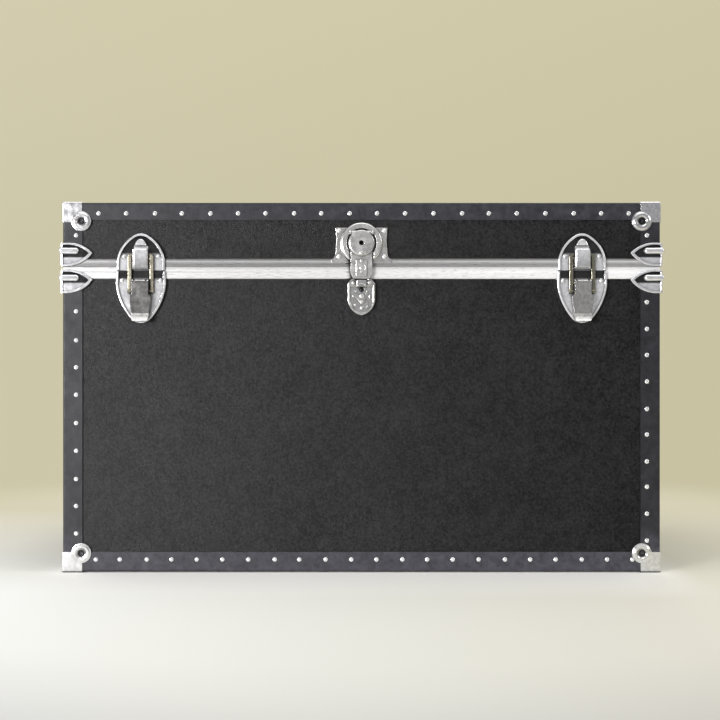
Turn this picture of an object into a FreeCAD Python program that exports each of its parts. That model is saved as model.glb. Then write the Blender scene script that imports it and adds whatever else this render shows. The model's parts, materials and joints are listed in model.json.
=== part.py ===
import FreeCAD, Part
import math
import os
import Sketcher
from types import SimpleNamespace

# A vinyl-covered travelling trunk: plywood panels under vinyl, fibre edge
# strips, an aluminium tongue-and-groove closure, two draw latches, a hasp lock,
# corner caps, corner clamps, rear hinges and drop handles.
# Origin: middle of the footprint at floor level. X runs along the width, the
# front faces -Y, Z is up. Lengths are in millimetres, angles in degrees.

Vec = FreeCAD.Vector

# Every piece of hardware lies on the seat plane, the outer face of the edge
# strips and of the closure bands. "out" sizes count outwards from that plane,
# "rise" and "drop" sizes count up and down from the seam of lid and base.
SIZES = {
    # overall box, over the edge strips; the heights are over the corner caps,
    # below and above the seam
    "width": 762.0,
    "depth": 457.0,
    "base_height": 390.0,
    "lid_height": 83.0,
    "seam_gap": 0.3,
    # wall layers
    "ply_t": 9.0,
    "vinyl_t": 0.8,
    "lining_t": 0.8,
    "binding_t": 1.5,
    "binding_leg": 25.0,
    "top_binding_leg": 22.0,
    "binding_bend": 2.4,
    # aluminium closure
    "band_t": 1.5,
    "base_band": 15.5,
    "base_flange": 11.5,
    "lid_band": 10.5,
    "lid_flange": 9.5,
    "band_bevel": 0.9,
    "band_line_drop": 6.2,
    "band_line_w": 1.0,
    "band_line_deep": 0.5,
    "tongue_in": 6.8,
    "tongue_t": 2.0,
    "tongue_rise": 4.5,
    "tongue_end_gap": 20.0,
    "groove_play": 0.6,
    "groove_wall": 1.2,
    "groove_head": 1.0,
    # corner caps
    "cap_t": 1.2,
    "cap_side": 25.0,
    "cap_round": 2.2,
    "cap_lobe_at": 23.6,
    "cap_lobe_r": 12.6,
    "cap_ring_r": 11.6,
    "cap_ring_top_r": 9.6,
    "cap_ring_rise": 1.4,
    "cap_well_r": 7.0,
    "cap_well_foot_r": 5.4,
    "cap_hole_r": 2.2,
    # closure clamps on the upright edges
    "clamp_t": 1.0,
    "clamp_rim": 3.0,
    "clamp_rim_w": 2.4,
    "clamp_rim_round": 1.4,
    "clamp_reach": 38.5,
    "clamp_height": 29.4,
    "clamp_bulge_r": 42.0,
    "clamp_tip_up": 16.8,
    "clamp_rib_up": 19.7,
    "clamp_rib_r": 4.4,
    "clamp_rib_len": 17.0,
    "lid_clamp_drop": 0.6,
    "base_clamp_top": 4.4,
    # draw latches
    "latch_inset": 100.0,
    "plate_t": 1.2,
    "rim_out": 3.4,
    "rim_w": 3.0,
    "rim_round": 1.3,
    "catch_half": 30.5,
    "catch_drop": 4.7,
    "catch_shoulder": 9.0,
    "catch_top": 38.5,
    "catch_top_half": 11.0,
    "catch_side_r": 45.0,
    "catch_top_r": 18.0,
    "nose_half": 10.0,
    "nose_drop": 3.0,
    "throat_floor": 12.2,
    "lip_top": 22.2,
    "nose_shoulder": 13.6,
    "nose_top_half": 7.9,
    "nose_side_r": 16.0,
    "lip_t": 1.8,
    "throat_in": 8.2,
    "nose_round": 2.6,
    "lobe_half": 7.8,
    "lobe_low": 26.4,
    "lobe_shoulder": 33.6,
    "lobe_top_half": 4.0,
    "lobe_side_r": 14.0,
    "lobe_top_r": 5.8,
    "lobe_out": 6.4,
    "lobe_round": 2.2,
    "latch_pivot_drop": 20.4,
    "latch_pivot_out": 6.0,
    "link_eye_drop": 11.3,
    "link_out": 3.9,
    "link_t": 2.0,
    "link_half": 16.6,
    "link_bar_w": 5.2,
    "link_bar_top": 16.2,
    "link_bar_bottom": 12.8,
    "link_corner_r": 4.0,
    "link_round": 0.8,
    "link_eye_r": 2.4,
    "link_pin_r": 1.2,
    "lever_pin_r": 1.4,
    "pin_play": 0.05,
    "pin_end": 0.4,
    "lever_roll_r": 4.5,
    "lever_skin": 1.2,
    "lever_top_half": 10.6,
    "lever_wide_half": 13.5,
    "lever_foot_half": 10.2,
    "lever_wide_drop": 17.5,
    "lever_wall": 1.8,
    "lever_front": 10.5,
    "lever_knee_drop": 38.0,
    "lever_foot_drop": 49.4,
    "lever_lip_out": 14.4,
    "lever_flare_r": 17.0,
    "lever_lip_corner_r": 3.0,
    "ear_t": 1.8,
    "ear_r": 2.8,
    "ear_play": 0.3,
    "strike_top_drop": 6.0,
    "strike_half": 32.0,
    "strike_top_half": 31.0,
    "strike_wide_drop": 22.0,
    "strike_foot_drop": 67.0,
    "strike_foot_half": 12.0,
    "strike_side_r": 78.0,
    "strike_foot_r": 18.0,
    # hasp lock
    "lock_half": 33.0,
    "lock_foot_half": 38.5,
    "lock_bottom": 5.0,
    "lock_foot_top": 8.5,
    "lock_waist": 16.5,
    "lock_foot_r": 11.0,
    "lock_shoulder": 49.5,
    "lock_arch_half": 17.6,
    "boss_up": 29.7,
    "boss_r": 16.5,
    "boss_out": 10.0,
    "boss_round": 2.0,
    "boss_back_up": 1.2,
    "boss_back_rise": 3.7,
    "collar_r": 26.5,
    "collar_w": 8.0,
    "collar_out": 4.2,
    "collar_round": 2.4,
    "hasp_pivot_up": 43.0,
    "hasp_pivot_out": 5.5,
    "hasp_knuckle_r": 2.6,
    "hasp_knuckle_half": 12.7,
    "hasp_pin_r": 1.3,
    "lug_t": 2.4,
    "lug_r": 2.8,
    "lug_play": 0.3,
    "strap_half": 13.6,
    "strap_gap": 1.8,
    "strap_foot_half": 10.5,
    "strap_foot_drop": 15.3,
    "strap_taper_drop": 9.0,
    "strap_out": 6.4,
    "strap_panel_half": 7.0,
    "strap_panel_out": 7.6,
    "strap_panel_top": 8.0,
    "strap_panel_foot": 13.0,
    "hasp_back_out": 1.5,
    "hasp_cover_t": 0.6,
    "bolt_t": 1.8,
    "bolt_half": 3.4,
    "bolt_throw": 5.0,
    "bolt_play": 0.15,
    "bolt_head_half": 6.4,
    "bolt_head_up": 6.5,
    "bolt_head_down": 3.5,
    "cavity_r": 11.2,
    "cavity_out": 7.7,
    "cover_r": 13.0,
    "cam_r": 10.8,
    "cam_back": 4.5,
    "cam_front": 7.4,
    "cam_pin_r": 0.9,
    "cam_pin_back": 2.6,
    "cam_slot_half": 1.1,
    "cam_slot_play": 0.2,
    "plug_r": 3.1,
    "plug_recess": 1.4,
    "keyway_w": 1.3,
    "keyway_len": 4.2,
    "keyway_deep": 2.0,
    "keeper_half": 17.6,
    "keeper_wide_top": 22.0,
    "keeper_wide_foot": 44.0,
    "keeper_waist_half": 16.2,
    "keeper_waist_drop": 48.6,
    "keeper_tip_drop": 62.2,
    "keeper_foot_r": 22.0,
    "keeper_horn_in": 8.6,
    "keeper_horn_half": 12.6,
    "keeper_horn_drop": 15.9,
    "keeper_seat_drop": 17.2,
    "keeper_rim": 3.2,
    "keeper_rim_w": 3.4,
    "keeper_rim_round": 1.3,
    "socket_half": 6.2,
    "socket_deep": 7.0,
    "socket_wall": 1.3,
    "rosette_r": 5.0,
    "rosette_drop": 42.0,
    "rosette_out": 2.6,
    # rivets
    "rivet_r": 1.6,
    "rivet_head_r": 3.1,
    "rivet_head_rise": 1.7,
    "rivet_foot_r": 2.6,
    "rivet_foot_t": 0.8,
    "catch_rivet_x": 21.8,
    "catch_rivet_up": 13.0,
    "strike_rivet_x": 24.4,
    "strike_rivet_drop": 17.8,
    "lock_rivet_x": 28.9,
    "lock_rivet_up": 12.8,
    "lock_rivet_high": 45.8,
    "keeper_rivet_drop": 29.2,
    "keeper_low_rivet_drop": 52.6,
    # rear hinges
    "hinge_inset": 151.0,
    "leaf_t": 1.5,
    "leaf_half": 30.0,
    "leaf_height": 28.0,
    "leaf_corner_r": 4.0,
    "knuckle_r": 3.2,
    "knuckle_lift": 0.3,
    "knuckle_half": 14.0,
    "knuckle_play": 0.3,
    "hinge_pin_r": 1.6,
    "hinge_rivet_x": 19.0,
    "hinge_rivet_up": 20.0,
    # side handles
    "handle_drop": 92.0,
    "handle_half": 58.0,
    "handle_fall": 40.0,
    "handle_r": 3.2,
    "handle_out": 9.0,
    "handle_bend_r": 5.5,
    "grip_r": 7.6,
    "grip_end_gap": 1.8,
    "grip_round": 2.4,
    "grip_play": 0.05,
    "bracket_plate_t": 1.5,
    "bracket_half": 14.0,
    "bracket_up": 19.0,
    "bracket_down": 19.0,
    "bracket_corner_r": 5.0,
    "bracket_barrel_r": 5.4,
    "bracket_barrel_len": 12.0,
    "handle_rivet_up": 12.5,
    # cutters run past what they cut by this
    "overrun": 4.0,
}

# Shares of a size, chosen by eye for the shape of an outline.
RECESS_CORNER_SHARE = 0.35
NOSE_FOOT_SHARE = 0.34
LEVER_BACK_SHARE = 0.5
LOCK_WAIST_SHARE = 0.97
CAM_START_DEG = 45
CORNER_SIGNS = ((-1, -1), (1, -1), (1, 1), (-1, 1))
TOLERANCE = 0.01


doc = FreeCAD.newDocument("covered_trunk")
sheet = doc.addObject("Spreadsheet::Sheet", "Sizes")


class Size:
    """A length together with the sheet expression that gives it."""

    def __init__(self, value, text):
        self.value = float(value)
        self.text = text

    def __float__(self):
        return self.value

    def __neg__(self):
        return Size(-self.value, f"(-{self.text})")

    def __add__(self, other):
        other = as_size(other)
        return Size(self.value + other.value, f"({self.text} + {other.text})")

    def __radd__(self, other):
        return as_size(other) + self

    def __sub__(self, other):
        other = as_size(other)
        return Size(self.value - other.value, f"({self.text} - {other.text})")

    def __rsub__(self, other):
        return as_size(other) - self

    def __mul__(self, factor):
        return Size(self.value * factor, f"({self.text} * {factor})")

    __rmul__ = __mul__

    def __truediv__(self, factor):
        return Size(self.value / factor, f"({self.text} / {factor})")


def as_size(number):
    return number if isinstance(number, Size) else Size(number, str(number))


def fill_sheet():
    """Writes the named sizes to the sheet and returns them by name."""
    sizes = {}
    for row, (name, value) in enumerate(SIZES.items(), start=1):
        sheet.set(f"A{row}", name)
        sheet.set(f"B{row}", str(value))
        sheet.setAlias(f"B{row}", name)
        sizes[name] = Size(value, f"Sizes.{name}")
    doc.recompute()
    return SimpleNamespace(**sizes)


d = fill_sheet()
pieces = []

# Levels and planes that several pieces share.
seam = d.base_height
total_height = d.base_height + d.lid_height
latch_x = d.width / 2 - d.latch_inset
hinge_spacing = d.width / 2 - d.hinge_inset
lid_foot = d.seam_gap
wall_out = d.binding_t
ply_out = d.binding_t + d.vinyl_t
ply_in = ply_out + d.ply_t
lining_in = ply_in + d.lining_t
floor_skin = d.cap_t + d.binding_t
top_skin = total_height - d.cap_t - d.binding_t
hinge_out = d.knuckle_r + d.knuckle_lift
front_reach = d.lever_lip_out
rear_reach = hinge_out + d.knuckle_r
middle_y = (front_reach - rear_reach) / 2
front_y = middle_y - d.depth / 2
rear_y = middle_y + d.depth / 2
link_eye_z = -d.latch_pivot_drop - d.link_eye_drop
lid_wall_foot = lid_foot + d.tongue_rise + d.groove_head + d.groove_wall
base_wall_top = seam - d.band_t


def origin_plane(body, role):
    return next(feature for feature in body.Origin.OriginFeatures if feature.Role == role)


def new_body(name):
    return doc.addObject("PartDesign::Body", name)


def new_sketch(body, name, plane, offset):
    """Starts a sketch on one of the body's own planes, moved along its normal."""
    sketch = body.newObject("Sketcher::SketchObject", name)
    sketch.AttachmentSupport = [(origin_plane(body, plane), "")]
    sketch.MapMode = "FlatFace"
    sketch.setExpression("AttachmentOffset.Base.z", as_size(offset).text)
    return sketch


def fix_point(sketch, index, point, place):
    """Ties a sketched point to its two coordinates."""
    for kind, axis, value in (("DistanceX", -2, place[0]), ("DistanceY", -1, place[1])):
        if float(value) == 0:
            sketch.addConstraint(Sketcher.Constraint("PointOnObject", index, point, axis))
        else:
            row = sketch.addConstraint(
                Sketcher.Constraint(kind, -1, 1, index, point, float(value)))
            sketch.setExpression(f"Constraints[{row}]", value.text)


def arc_through(start, end, radius, inside):
    """Arc of a signed radius between two points; inside is +1 if the outline's
    inner side is on the left. Returns the arc and whether it runs backwards."""
    span = end - start
    half = span.Length / 2
    side = inside if radius > 0 else -inside
    left = Vec(-span.y, span.x, 0).normalize()
    lift = math.sqrt(max(radius * radius - half * half, 0))
    centre = (start + end) / 2 + left * lift * side
    circle = Part.Circle(centre, Vec(0, 0, 1), abs(radius))
    backwards = side < 0
    first, last = (end, start) if backwards else (start, end)
    angles = [math.atan2(p.y - centre.y, p.x - centre.x) for p in (first, last)]
    return Part.ArcOfCircle(circle, angles[0], angles[1]), backwards


def draw_outline(sketch, corners):
    """Draws a closed outline. A corner is (across, up) or, where an arc leads to
    the next corner, (across, up, radius), with a minus for a hollow arc."""
    places = [Vec(float(corner[0]), float(corner[1]), 0) for corner in corners]
    count = len(corners)
    area = sum(places[i - 1].x * places[i].y - places[i].x * places[i - 1].y
               for i in range(count))
    inside = 1 if area > 0 else -1
    first = sketch.GeometryCount
    ends = []
    for i, corner in enumerate(corners):
        start, end = places[i], places[(i + 1) % count]
        if len(corner) == 2:
            sketch.addGeometry(Part.LineSegment(start, end), False)
            ends.append((1, 2))
        else:
            arc, backwards = arc_through(start, end, float(corner[2]), inside)
            sketch.addGeometry(arc, False)
            ends.append((2, 1) if backwards else (1, 2))
    for i, corner in enumerate(corners):
        after = (i + 1) % count
        sketch.addConstraint(Sketcher.Constraint(
            "Coincident", first + i, ends[i][1], first + after, ends[after][0]))
        fix_point(sketch, first + i, ends[i][0], corner[:2])
        if len(corner) == 3:
            radius = corner[2] if float(corner[2]) > 0 else -corner[2]
            row = sketch.addConstraint(
                Sketcher.Constraint("Radius", first + i, float(radius)))
            sketch.setExpression(f"Constraints[{row}]", radius.text)


def draw_circle(sketch, place, radius):
    centre = Vec(float(place[0]), float(place[1]), 0)
    index = sketch.addGeometry(Part.Circle(centre, Vec(0, 0, 1), float(radius)), False)
    fix_point(sketch, index, 3, place)
    row = sketch.addConstraint(Sketcher.Constraint("Radius", index, float(radius)))
    sketch.setExpression(f"Constraints[{row}]", radius.text)


def sweep_sketch(body, kind, sketch, length, symmetric=False):
    """Pads or pockets a sketch. A pocket runs against the sketch's normal."""
    feature = body.newObject(f"PartDesign::{kind}", f"{sketch.Name}_{kind.lower()}")
    feature.Profile = sketch
    feature.SideType = "Symmetric" if symmetric else "One side"
    feature.setExpression("Length", as_size(length).text)
    doc.recompute()
    return feature


def pad_front(body, name, corners, out_from, out_to):
    """Pads an outline seen from the front, (x, z), between two out levels."""
    sketch = new_sketch(body, name, "XZ_Plane", out_from)
    draw_outline(sketch, corners)
    return sweep_sketch(body, "Pad", sketch, out_to - out_from)


def cut_front(body, name, corners, out_from, out_to):
    """Cuts an outline seen from the front from an outer level in to a deeper one."""
    sketch = new_sketch(body, name, "XZ_Plane", out_to)
    draw_outline(sketch, corners)
    return sweep_sketch(body, "Pocket", sketch, out_to - out_from)


def side_points(corners):
    """Turns (out, z) corners into the side plane's own, where out runs to -Y."""
    return [(-as_size(corner[0]),) + tuple(corner[1:]) for corner in corners]


def pad_side(body, name, corners, x_from, x_to):
    """Pads an outline seen from the side, (out, z), between two x places."""
    sketch = new_sketch(body, name, "YZ_Plane", x_from)
    draw_outline(sketch, side_points(corners))
    return sweep_sketch(body, "Pad", sketch, x_to - x_from)


def pad_side_middle(body, name, corners, width):
    sketch = new_sketch(body, name, "YZ_Plane", 0)
    draw_outline(sketch, side_points(corners))
    return sweep_sketch(body, "Pad", sketch, width, symmetric=True)


def cut_side_middle(body, name, corners, width):
    sketch = new_sketch(body, name, "YZ_Plane", 0)
    draw_outline(sketch, side_points(corners))
    return sweep_sketch(body, "Pocket", sketch, width, symmetric=True)


def rod_side(body, name, place, radius, x_from, x_to):
    """Pads a round rod along X, with its middle at (out, z)."""
    sketch = new_sketch(body, name, "YZ_Plane", x_from)
    draw_circle(sketch, (-as_size(place[0]), place[1]), radius)
    return sweep_sketch(body, "Pad", sketch, x_to - x_from)


def ear(body, name, foot_out, place, radius, x_from, x_to):
    """A round-ended ear that stands on a plate and holds a pin at (out, z)."""
    out, z = place
    pad_side(body, f"{name}_foot", [
        (foot_out, z - radius), (out, z - radius), (out, z + radius), (foot_out, z + radius)],
        x_from, x_to)
    rod_side(body, f"{name}_end", place, radius, x_from, x_to)


def bore_side(body, name, place, radius, width):
    """Bores along X right through, with its middle at (out, z)."""
    sketch = new_sketch(body, name, "YZ_Plane", 0)
    draw_circle(sketch, (-as_size(place[0]), place[1]), radius)
    return sweep_sketch(body, "Pocket", sketch, width, symmetric=True)


def bore_front(body, name, places, radius, out_from, out_to):
    """Bores along Y at each (x, z)."""
    sketch = new_sketch(body, name, "XZ_Plane", out_to)
    for place in places:
        draw_circle(sketch, place, radius)
    return sweep_sketch(body, "Pocket", sketch, out_to - out_from)


def rod_front(body, name, place, radius, out_from, out_to):
    sketch = new_sketch(body, name, "XZ_Plane", out_from)
    draw_circle(sketch, place, radius)
    return sweep_sketch(body, "Pad", sketch, out_to - out_from)


def fillet(body, radius, wanted):
    """Rounds those edges of the body's last feature that the test picks."""
    last = body.Tip
    names = [f"Edge{i}" for i, edge in enumerate(last.Shape.Edges, start=1) if wanted(edge)]
    feature = body.newObject("PartDesign::Fillet", f"{body.Name}_fillet_{len(body.Group)}")
    feature.Base = (last, names)
    feature.setExpression("Radius", radius.text)
    doc.recompute()
    return feature


def near(value, size):
    return abs(value - float(size)) < TOLERANCE


def lies_at(edge, out):
    """Whether an edge lies flat at one out level."""
    return near(edge.BoundBox.YMin, -out) and near(edge.BoundBox.YMax, -out)


def place_at(item, x, y, z):
    for axis, value in (("x", x), ("y", y), ("z", z)):
        item.setExpression(f"Placement.Base.{axis}", as_size(value).text)


def finish(item, label):
    """Names a sub-part and puts it on the list of those to write."""
    item.Label = label
    pieces.append(item)
    return item


def group(label, items):
    compound = doc.addObject("Part::Compound", label)
    compound.Links = items
    doc.recompute()
    return finish(compound, label)


def bound_box(name, low, high):
    """A plain box between two corners given in sizes."""
    box = doc.addObject("Part::Box", name)
    for side, start, end in zip(("Length", "Width", "Height"), low, high):
        box.setExpression(side, (end - start).text)
    place_at(box, *low)
    return box


def cut(name, base, tool):
    result = doc.addObject("Part::Cut", name)
    result.Base = base
    result.Tool = tool
    return result


def shaped(name, shape, y):
    """A feature whose shape is worked out here from the sheet's sizes."""
    feature = doc.addObject("Part::Feature", name)
    feature.Shape = shape
    place_at(feature, 0, y, 0)
    return feature


def solid_box(low, high):
    low, high = Vec(*map(float, low)), Vec(*map(float, high))
    size = high - low
    return Part.makeBox(size.x, size.y, size.z, low)


# Wood, vinyl and lining


def rivet_places():
    """Each rivet as (group, seat point, outward direction, plate thickness)."""
    front, back = Vec(0, -1, 0), Vec(0, 1, 0)
    half_depth = d.depth / 2
    rows = []

    def add(name, x, y, z, out, plate):
        rows.append((name, Vec(float(x), float(y), float(z)), out, float(plate)))

    for side in (-1, 1):
        for hand in (-1, 1):
            x = side * latch_x + hand * d.catch_rivet_x
            add("latch_catch_rivets", x, -half_depth, seam + d.catch_rivet_up, front, d.plate_t)
            x = side * latch_x + hand * d.strike_rivet_x
            add("latch_base_rivets", x, -half_depth, seam - d.strike_rivet_drop, front, d.plate_t)
            y = hand * d.handle_half
            for step in (-1, 1):
                z = seam - d.handle_drop + step * d.handle_rivet_up
                add("handle_rivets", side * d.width / 2, y, z, Vec(side, 0, 0), d.bracket_plate_t)
        for up in (d.lock_rivet_up, d.lock_rivet_high):
            add("lock_plate_rivets", side * d.lock_rivet_x, -half_depth, seam + up, front, d.plate_t)
    add("keeper_rivets", 0, -half_depth, seam - d.keeper_rivet_drop, front, d.plate_t)
    add("keeper_rivets", 0, -half_depth, seam - d.keeper_low_rivet_drop, front, d.plate_t)
    for step in (-1, 0, 1):
        for hand in (-1, 1):
            x = step * hinge_spacing + hand * d.hinge_rivet_x
            add("hinge_lid_rivets", x, half_depth, seam + d.hinge_rivet_up, back, d.leaf_t)
            add("hinge_base_rivets", x, half_depth, seam - d.hinge_rivet_up, back, d.leaf_t)
    return rows


def rivet_solid(seat, out, plate):
    """Domed head, shank through plate and wall, and clinched foot inside: one
    profile turned about the rivet's axis."""
    deep, shank_r = float(lining_in), float(d.rivet_r)
    head_r, rise = float(d.rivet_head_r), float(d.rivet_head_rise)
    foot_r, foot = float(d.rivet_foot_r), -deep - float(d.rivet_foot_t)
    ball_r = (head_r * head_r + rise * rise) / (2 * rise)
    half_angle = math.asin(head_r / ball_r) / 2
    top, rim = Vec(0, 0, plate + rise), Vec(head_r, 0, plate)
    crown = top + Vec(math.sin(half_angle), 0, math.cos(half_angle) - 1) * ball_r
    path = [rim, Vec(shank_r, 0, plate), Vec(shank_r, 0, -deep), Vec(foot_r, 0, -deep),
            Vec(foot_r, 0, foot), Vec(0, 0, foot), top]
    edges = [Part.Arc(top, crown, rim).toShape()]
    edges += [Part.LineSegment(*pair).toShape() for pair in zip(path, path[1:])]
    solid = Part.Face(Part.Wire(edges)).revolve(Vec(0, 0, 0), Vec(0, 0, 1), 360)
    solid.Placement = FreeCAD.Placement(seat, FreeCAD.Rotation(Vec(0, 0, 1), out))
    return solid


def hole_solid(seat, out, plate):
    past = float(d.overrun)
    deep = float(lining_in) + past
    return Part.makeCylinder(float(d.rivet_r), deep + plate + past, seat - out * deep, out)


RIVETS = rivet_places()
LID_GROUPS = ("latch_catch_rivets", "lock_plate_rivets", "hinge_lid_rivets")
rivet_holes = {}
for name, in_lid in (("base_rivet_holes", False), ("lid_rivet_holes", True)):
    holes = [hole_solid(*row[1:]) for row in RIVETS if (row[0] in LID_GROUPS) == in_lid]
    rivet_holes[in_lid] = shaped(name, Part.Compound(holes), middle_y)


def wall_corners(inset, low, high):
    """Corners of a box set in from the seat planes, between two heights."""
    return ((-d.width / 2 + inset, front_y + inset, low),
            (d.width / 2 - inset, rear_y - inset, high))


def panel(label, low, high, in_lid):
    """A plywood panel with its rivet holes."""
    board = bound_box(f"{label}_board", low, high)
    return finish(cut(label, board, rivet_holes[in_lid]), label)


def panel_set(prefix, in_lid, low, high, flat_name):
    """Four walls and the flat panel between them; low and high bound the walls."""
    (left, front, _), (right, rear, _) = wall_corners(ply_out, low, high)
    t = d.ply_t
    panel(f"{prefix}_front_panel", (left, front, low), (right, front + t, high), in_lid)
    panel(f"{prefix}_back_panel", (left, rear - t, low), (right, rear, high), in_lid)
    panel(f"{prefix}_left_panel", (left, front + t, low), (left + t, rear - t, high), in_lid)
    panel(f"{prefix}_right_panel", (right - t, front + t, low), (right, rear - t, high), in_lid)
    flat_low = high - t if in_lid else low
    panel(f"{prefix}_{flat_name}_panel", (left + t, front + t, flat_low),
          (right - t, rear - t, flat_low + t), in_lid)


def shell(label, outer_inset, thickness, low, high, in_lid):
    """A skin over five sides, open towards the seam."""
    outer = bound_box(f"{label}_outside", *wall_corners(outer_inset, low, high))
    if in_lid:
        inner_low, inner_high = low - d.overrun, high - thickness
    else:
        inner_low, inner_high = low + thickness, high + d.overrun
    inner = bound_box(f"{label}_inside",
                      *wall_corners(outer_inset + thickness, inner_low, inner_high))
    hollow = cut(f"{label}_hollow", outer, inner)
    return finish(cut(label, hollow, rivet_holes[in_lid]), label)


def make_box():
    base_low = floor_skin + d.vinyl_t
    lid_low, lid_high = seam + lid_wall_foot, top_skin - d.vinyl_t
    panel_set("base", False, base_low, base_wall_top, "bottom")
    panel_set("lid", True, lid_low, lid_high, "top")
    shell("base_covering", wall_out, d.vinyl_t, floor_skin, base_wall_top, False)
    shell("lid_covering", wall_out, d.vinyl_t, lid_low, top_skin, True)
    shell("base_lining", ply_in, d.lining_t, base_low + d.ply_t, base_wall_top, False)
    shell("lid_lining", ply_in, d.lining_t, lid_low, lid_high - d.ply_t, True)


# Edge strips


def edge_strip(length, across_leg, up_leg):
    """An angle strip along X, corner edge on the X axis, legs towards +Y and +Z,
    with its outer bend rounded."""
    t = float(d.binding_t)
    outer = Part.makeBox(length, across_leg, up_leg, Vec(0, 0, 0))
    inner = Part.makeBox(length, across_leg, up_leg, Vec(0, t, t))
    strip = outer.cut(inner)
    bend = [edge for edge in strip.Edges
            if near(edge.BoundBox.YMax, 0) and near(edge.BoundBox.ZMax, 0)]
    return strip.makeFillet(float(d.binding_bend), bend)


def turned(shape, axis_x, axis_y, axis_z, origin):
    """Maps the shape's own X, Y and Z to three directions from an origin. A set
    of directions of the other hand is reached by mirroring the shape first."""
    if axis_x.cross(axis_y).dot(axis_z) < 0:
        shape = shape.mirror(Vec(0, 0, 0), Vec(1, 0, 0))
        axis_x = -axis_x
    result = shape.copy()
    result.Placement = FreeCAD.Placement(FreeCAD.Matrix(
        axis_x.x, axis_y.x, axis_z.x, origin.x,
        axis_x.y, axis_y.y, axis_z.y, origin.y,
        axis_x.z, axis_y.z, axis_z.z, origin.z))
    return result


def level_strips(z, up, side_leg, flat_leg):
    """Four strips round the box at a level edge; up is +1 at the foot."""
    half_w, half_d = float(d.width) / 2, float(d.depth) / 2
    side_leg, flat_leg = float(side_leg), float(flat_leg)
    rise = Vec(0, 0, up)
    along_x = edge_strip(2 * half_w, flat_leg, side_leg)
    along_y = edge_strip(2 * (half_d - flat_leg), flat_leg, side_leg)
    strips = []
    for side in (-1, 1):
        start = Vec(-half_w, side * half_d, float(z))
        strips.append(turned(along_x, Vec(1, 0, 0), Vec(0, -side, 0), rise, start))
        start = Vec(side * half_w, flat_leg - half_d, float(z))
        strips.append(turned(along_y, Vec(0, 1, 0), Vec(-side, 0, 0), rise, start))
    return strips


def upright_strips(low, high, leg):
    half_w, half_d = float(d.width) / 2, float(d.depth) / 2
    strip = edge_strip(float(high - low), float(leg), float(leg))
    strips = []
    for side_x, side_y in CORNER_SIGNS:
        start = Vec(side_x * half_w, side_y * half_d, float(low))
        strips.append(turned(strip, Vec(0, 0, 1), Vec(-side_x, 0, 0), Vec(0, -side_y, 0), start))
    return strips


def make_edge_strips():
    top = total_height - d.cap_t
    sets = {
        "base_bottom_binding": level_strips(d.cap_t, 1, d.binding_leg, d.binding_leg),
        "lid_top_binding": level_strips(top, -1, d.top_binding_leg, d.binding_leg),
        "base_corner_binding": upright_strips(
            d.cap_t + d.binding_leg, seam - d.base_band, d.binding_leg),
        "lid_corner_binding": upright_strips(
            seam + d.lid_band, top - d.top_binding_leg, d.binding_leg),
    }
    holes = Part.Compound([hole_solid(*row[1:]) for row in RIVETS])
    for label, strips in sets.items():
        drilled = [strip.cut(holes) for strip in strips]
        finish(shaped(label, Part.Compound(drilled), middle_y), label)


# Aluminium closure


def closure_lengths(profile):
    """Four mitred lengths of an extrusion round the box; the profile's corners
    are (inwards, z)."""
    rings = []
    for side_x, side_y in CORNER_SIGNS:
        ring = []
        for inwards, z in profile:
            x = side_x * (float(d.width) / 2 - float(inwards))
            y = side_y * (float(d.depth) / 2 - float(inwards))
            ring.append(Vec(x, y, float(z)))
        rings.append(Part.makePolygon(ring + ring[:1]))
    return [Part.makeLoft([rings[i - 1], rings[i]], True, True) for i in range(4)]


def make_closure():
    wall_face = lining_in
    line_high = seam - d.band_line_drop
    line_low = line_high - d.band_line_w
    inner = lining_in + d.band_t
    base_profile = [
        (d.band_bevel, seam - d.base_band), (0, seam - d.base_band + d.band_bevel),
        (0, line_low), (d.band_line_deep, line_low + d.band_line_w / 2), (0, line_high),
        (0, seam), (inner, seam),
        (inner, seam - d.base_flange), (wall_face, seam - d.base_flange),
        (wall_face, seam - d.band_t), (d.band_t, seam - d.band_t),
        (d.band_t, seam - d.base_band),
    ]
    lengths = closure_lengths(base_profile)
    half_w, half_d = d.width / 2, d.depth / 2
    near_in, far_in = d.tongue_in - d.tongue_t / 2, d.tongue_in + d.tongue_t / 2
    tongue_low, tongue_high = seam, seam + d.tongue_rise
    side_start, side_end = -half_d + far_in, half_d - d.tongue_end_gap
    tongues = {
        1: ((-half_w + near_in, -half_d + near_in, tongue_low),
            (half_w - near_in, -half_d + far_in, tongue_high)),
        2: ((half_w - far_in, side_start, tongue_low), (half_w - near_in, side_end, tongue_high)),
        0: ((-half_w + near_in, side_start, tongue_low), (-half_w + far_in, side_end, tongue_high)),
    }
    for index, (low, high) in tongues.items():
        lengths[index] = lengths[index].fuse(solid_box(low, high)).removeSplitter()
    finish(shaped("base_valance", Part.Compound(lengths), middle_y), "base_valance")

    foot, shelf = seam + lid_foot, seam + lid_foot + d.band_t
    slot_near = d.tongue_in - d.tongue_t / 2 - d.groove_play
    slot_far = d.tongue_in + d.tongue_t / 2 + d.groove_play
    roof = seam + lid_wall_foot
    slot_head = roof - d.groove_wall
    lid_profile = [
        (0, foot), (0, seam + d.lid_band - d.band_bevel), (d.band_bevel, seam + d.lid_band),
        (d.band_t, seam + d.lid_band),
        (d.band_t, shelf), (slot_near - d.groove_wall, shelf), (slot_near - d.groove_wall, roof),
        (slot_far + d.groove_wall, roof), (slot_far + d.groove_wall, shelf), (wall_face, shelf),
        (wall_face, seam + d.lid_flange), (inner, seam + d.lid_flange), (inner, foot),
        (slot_far, foot), (slot_far, slot_head), (slot_near, slot_head), (slot_near, foot),
    ]
    lengths = closure_lengths(lid_profile)
    finish(shaped("lid_valance", Part.Compound(lengths), middle_y), "lid_valance")


# Corner caps and closure clamps


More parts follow.
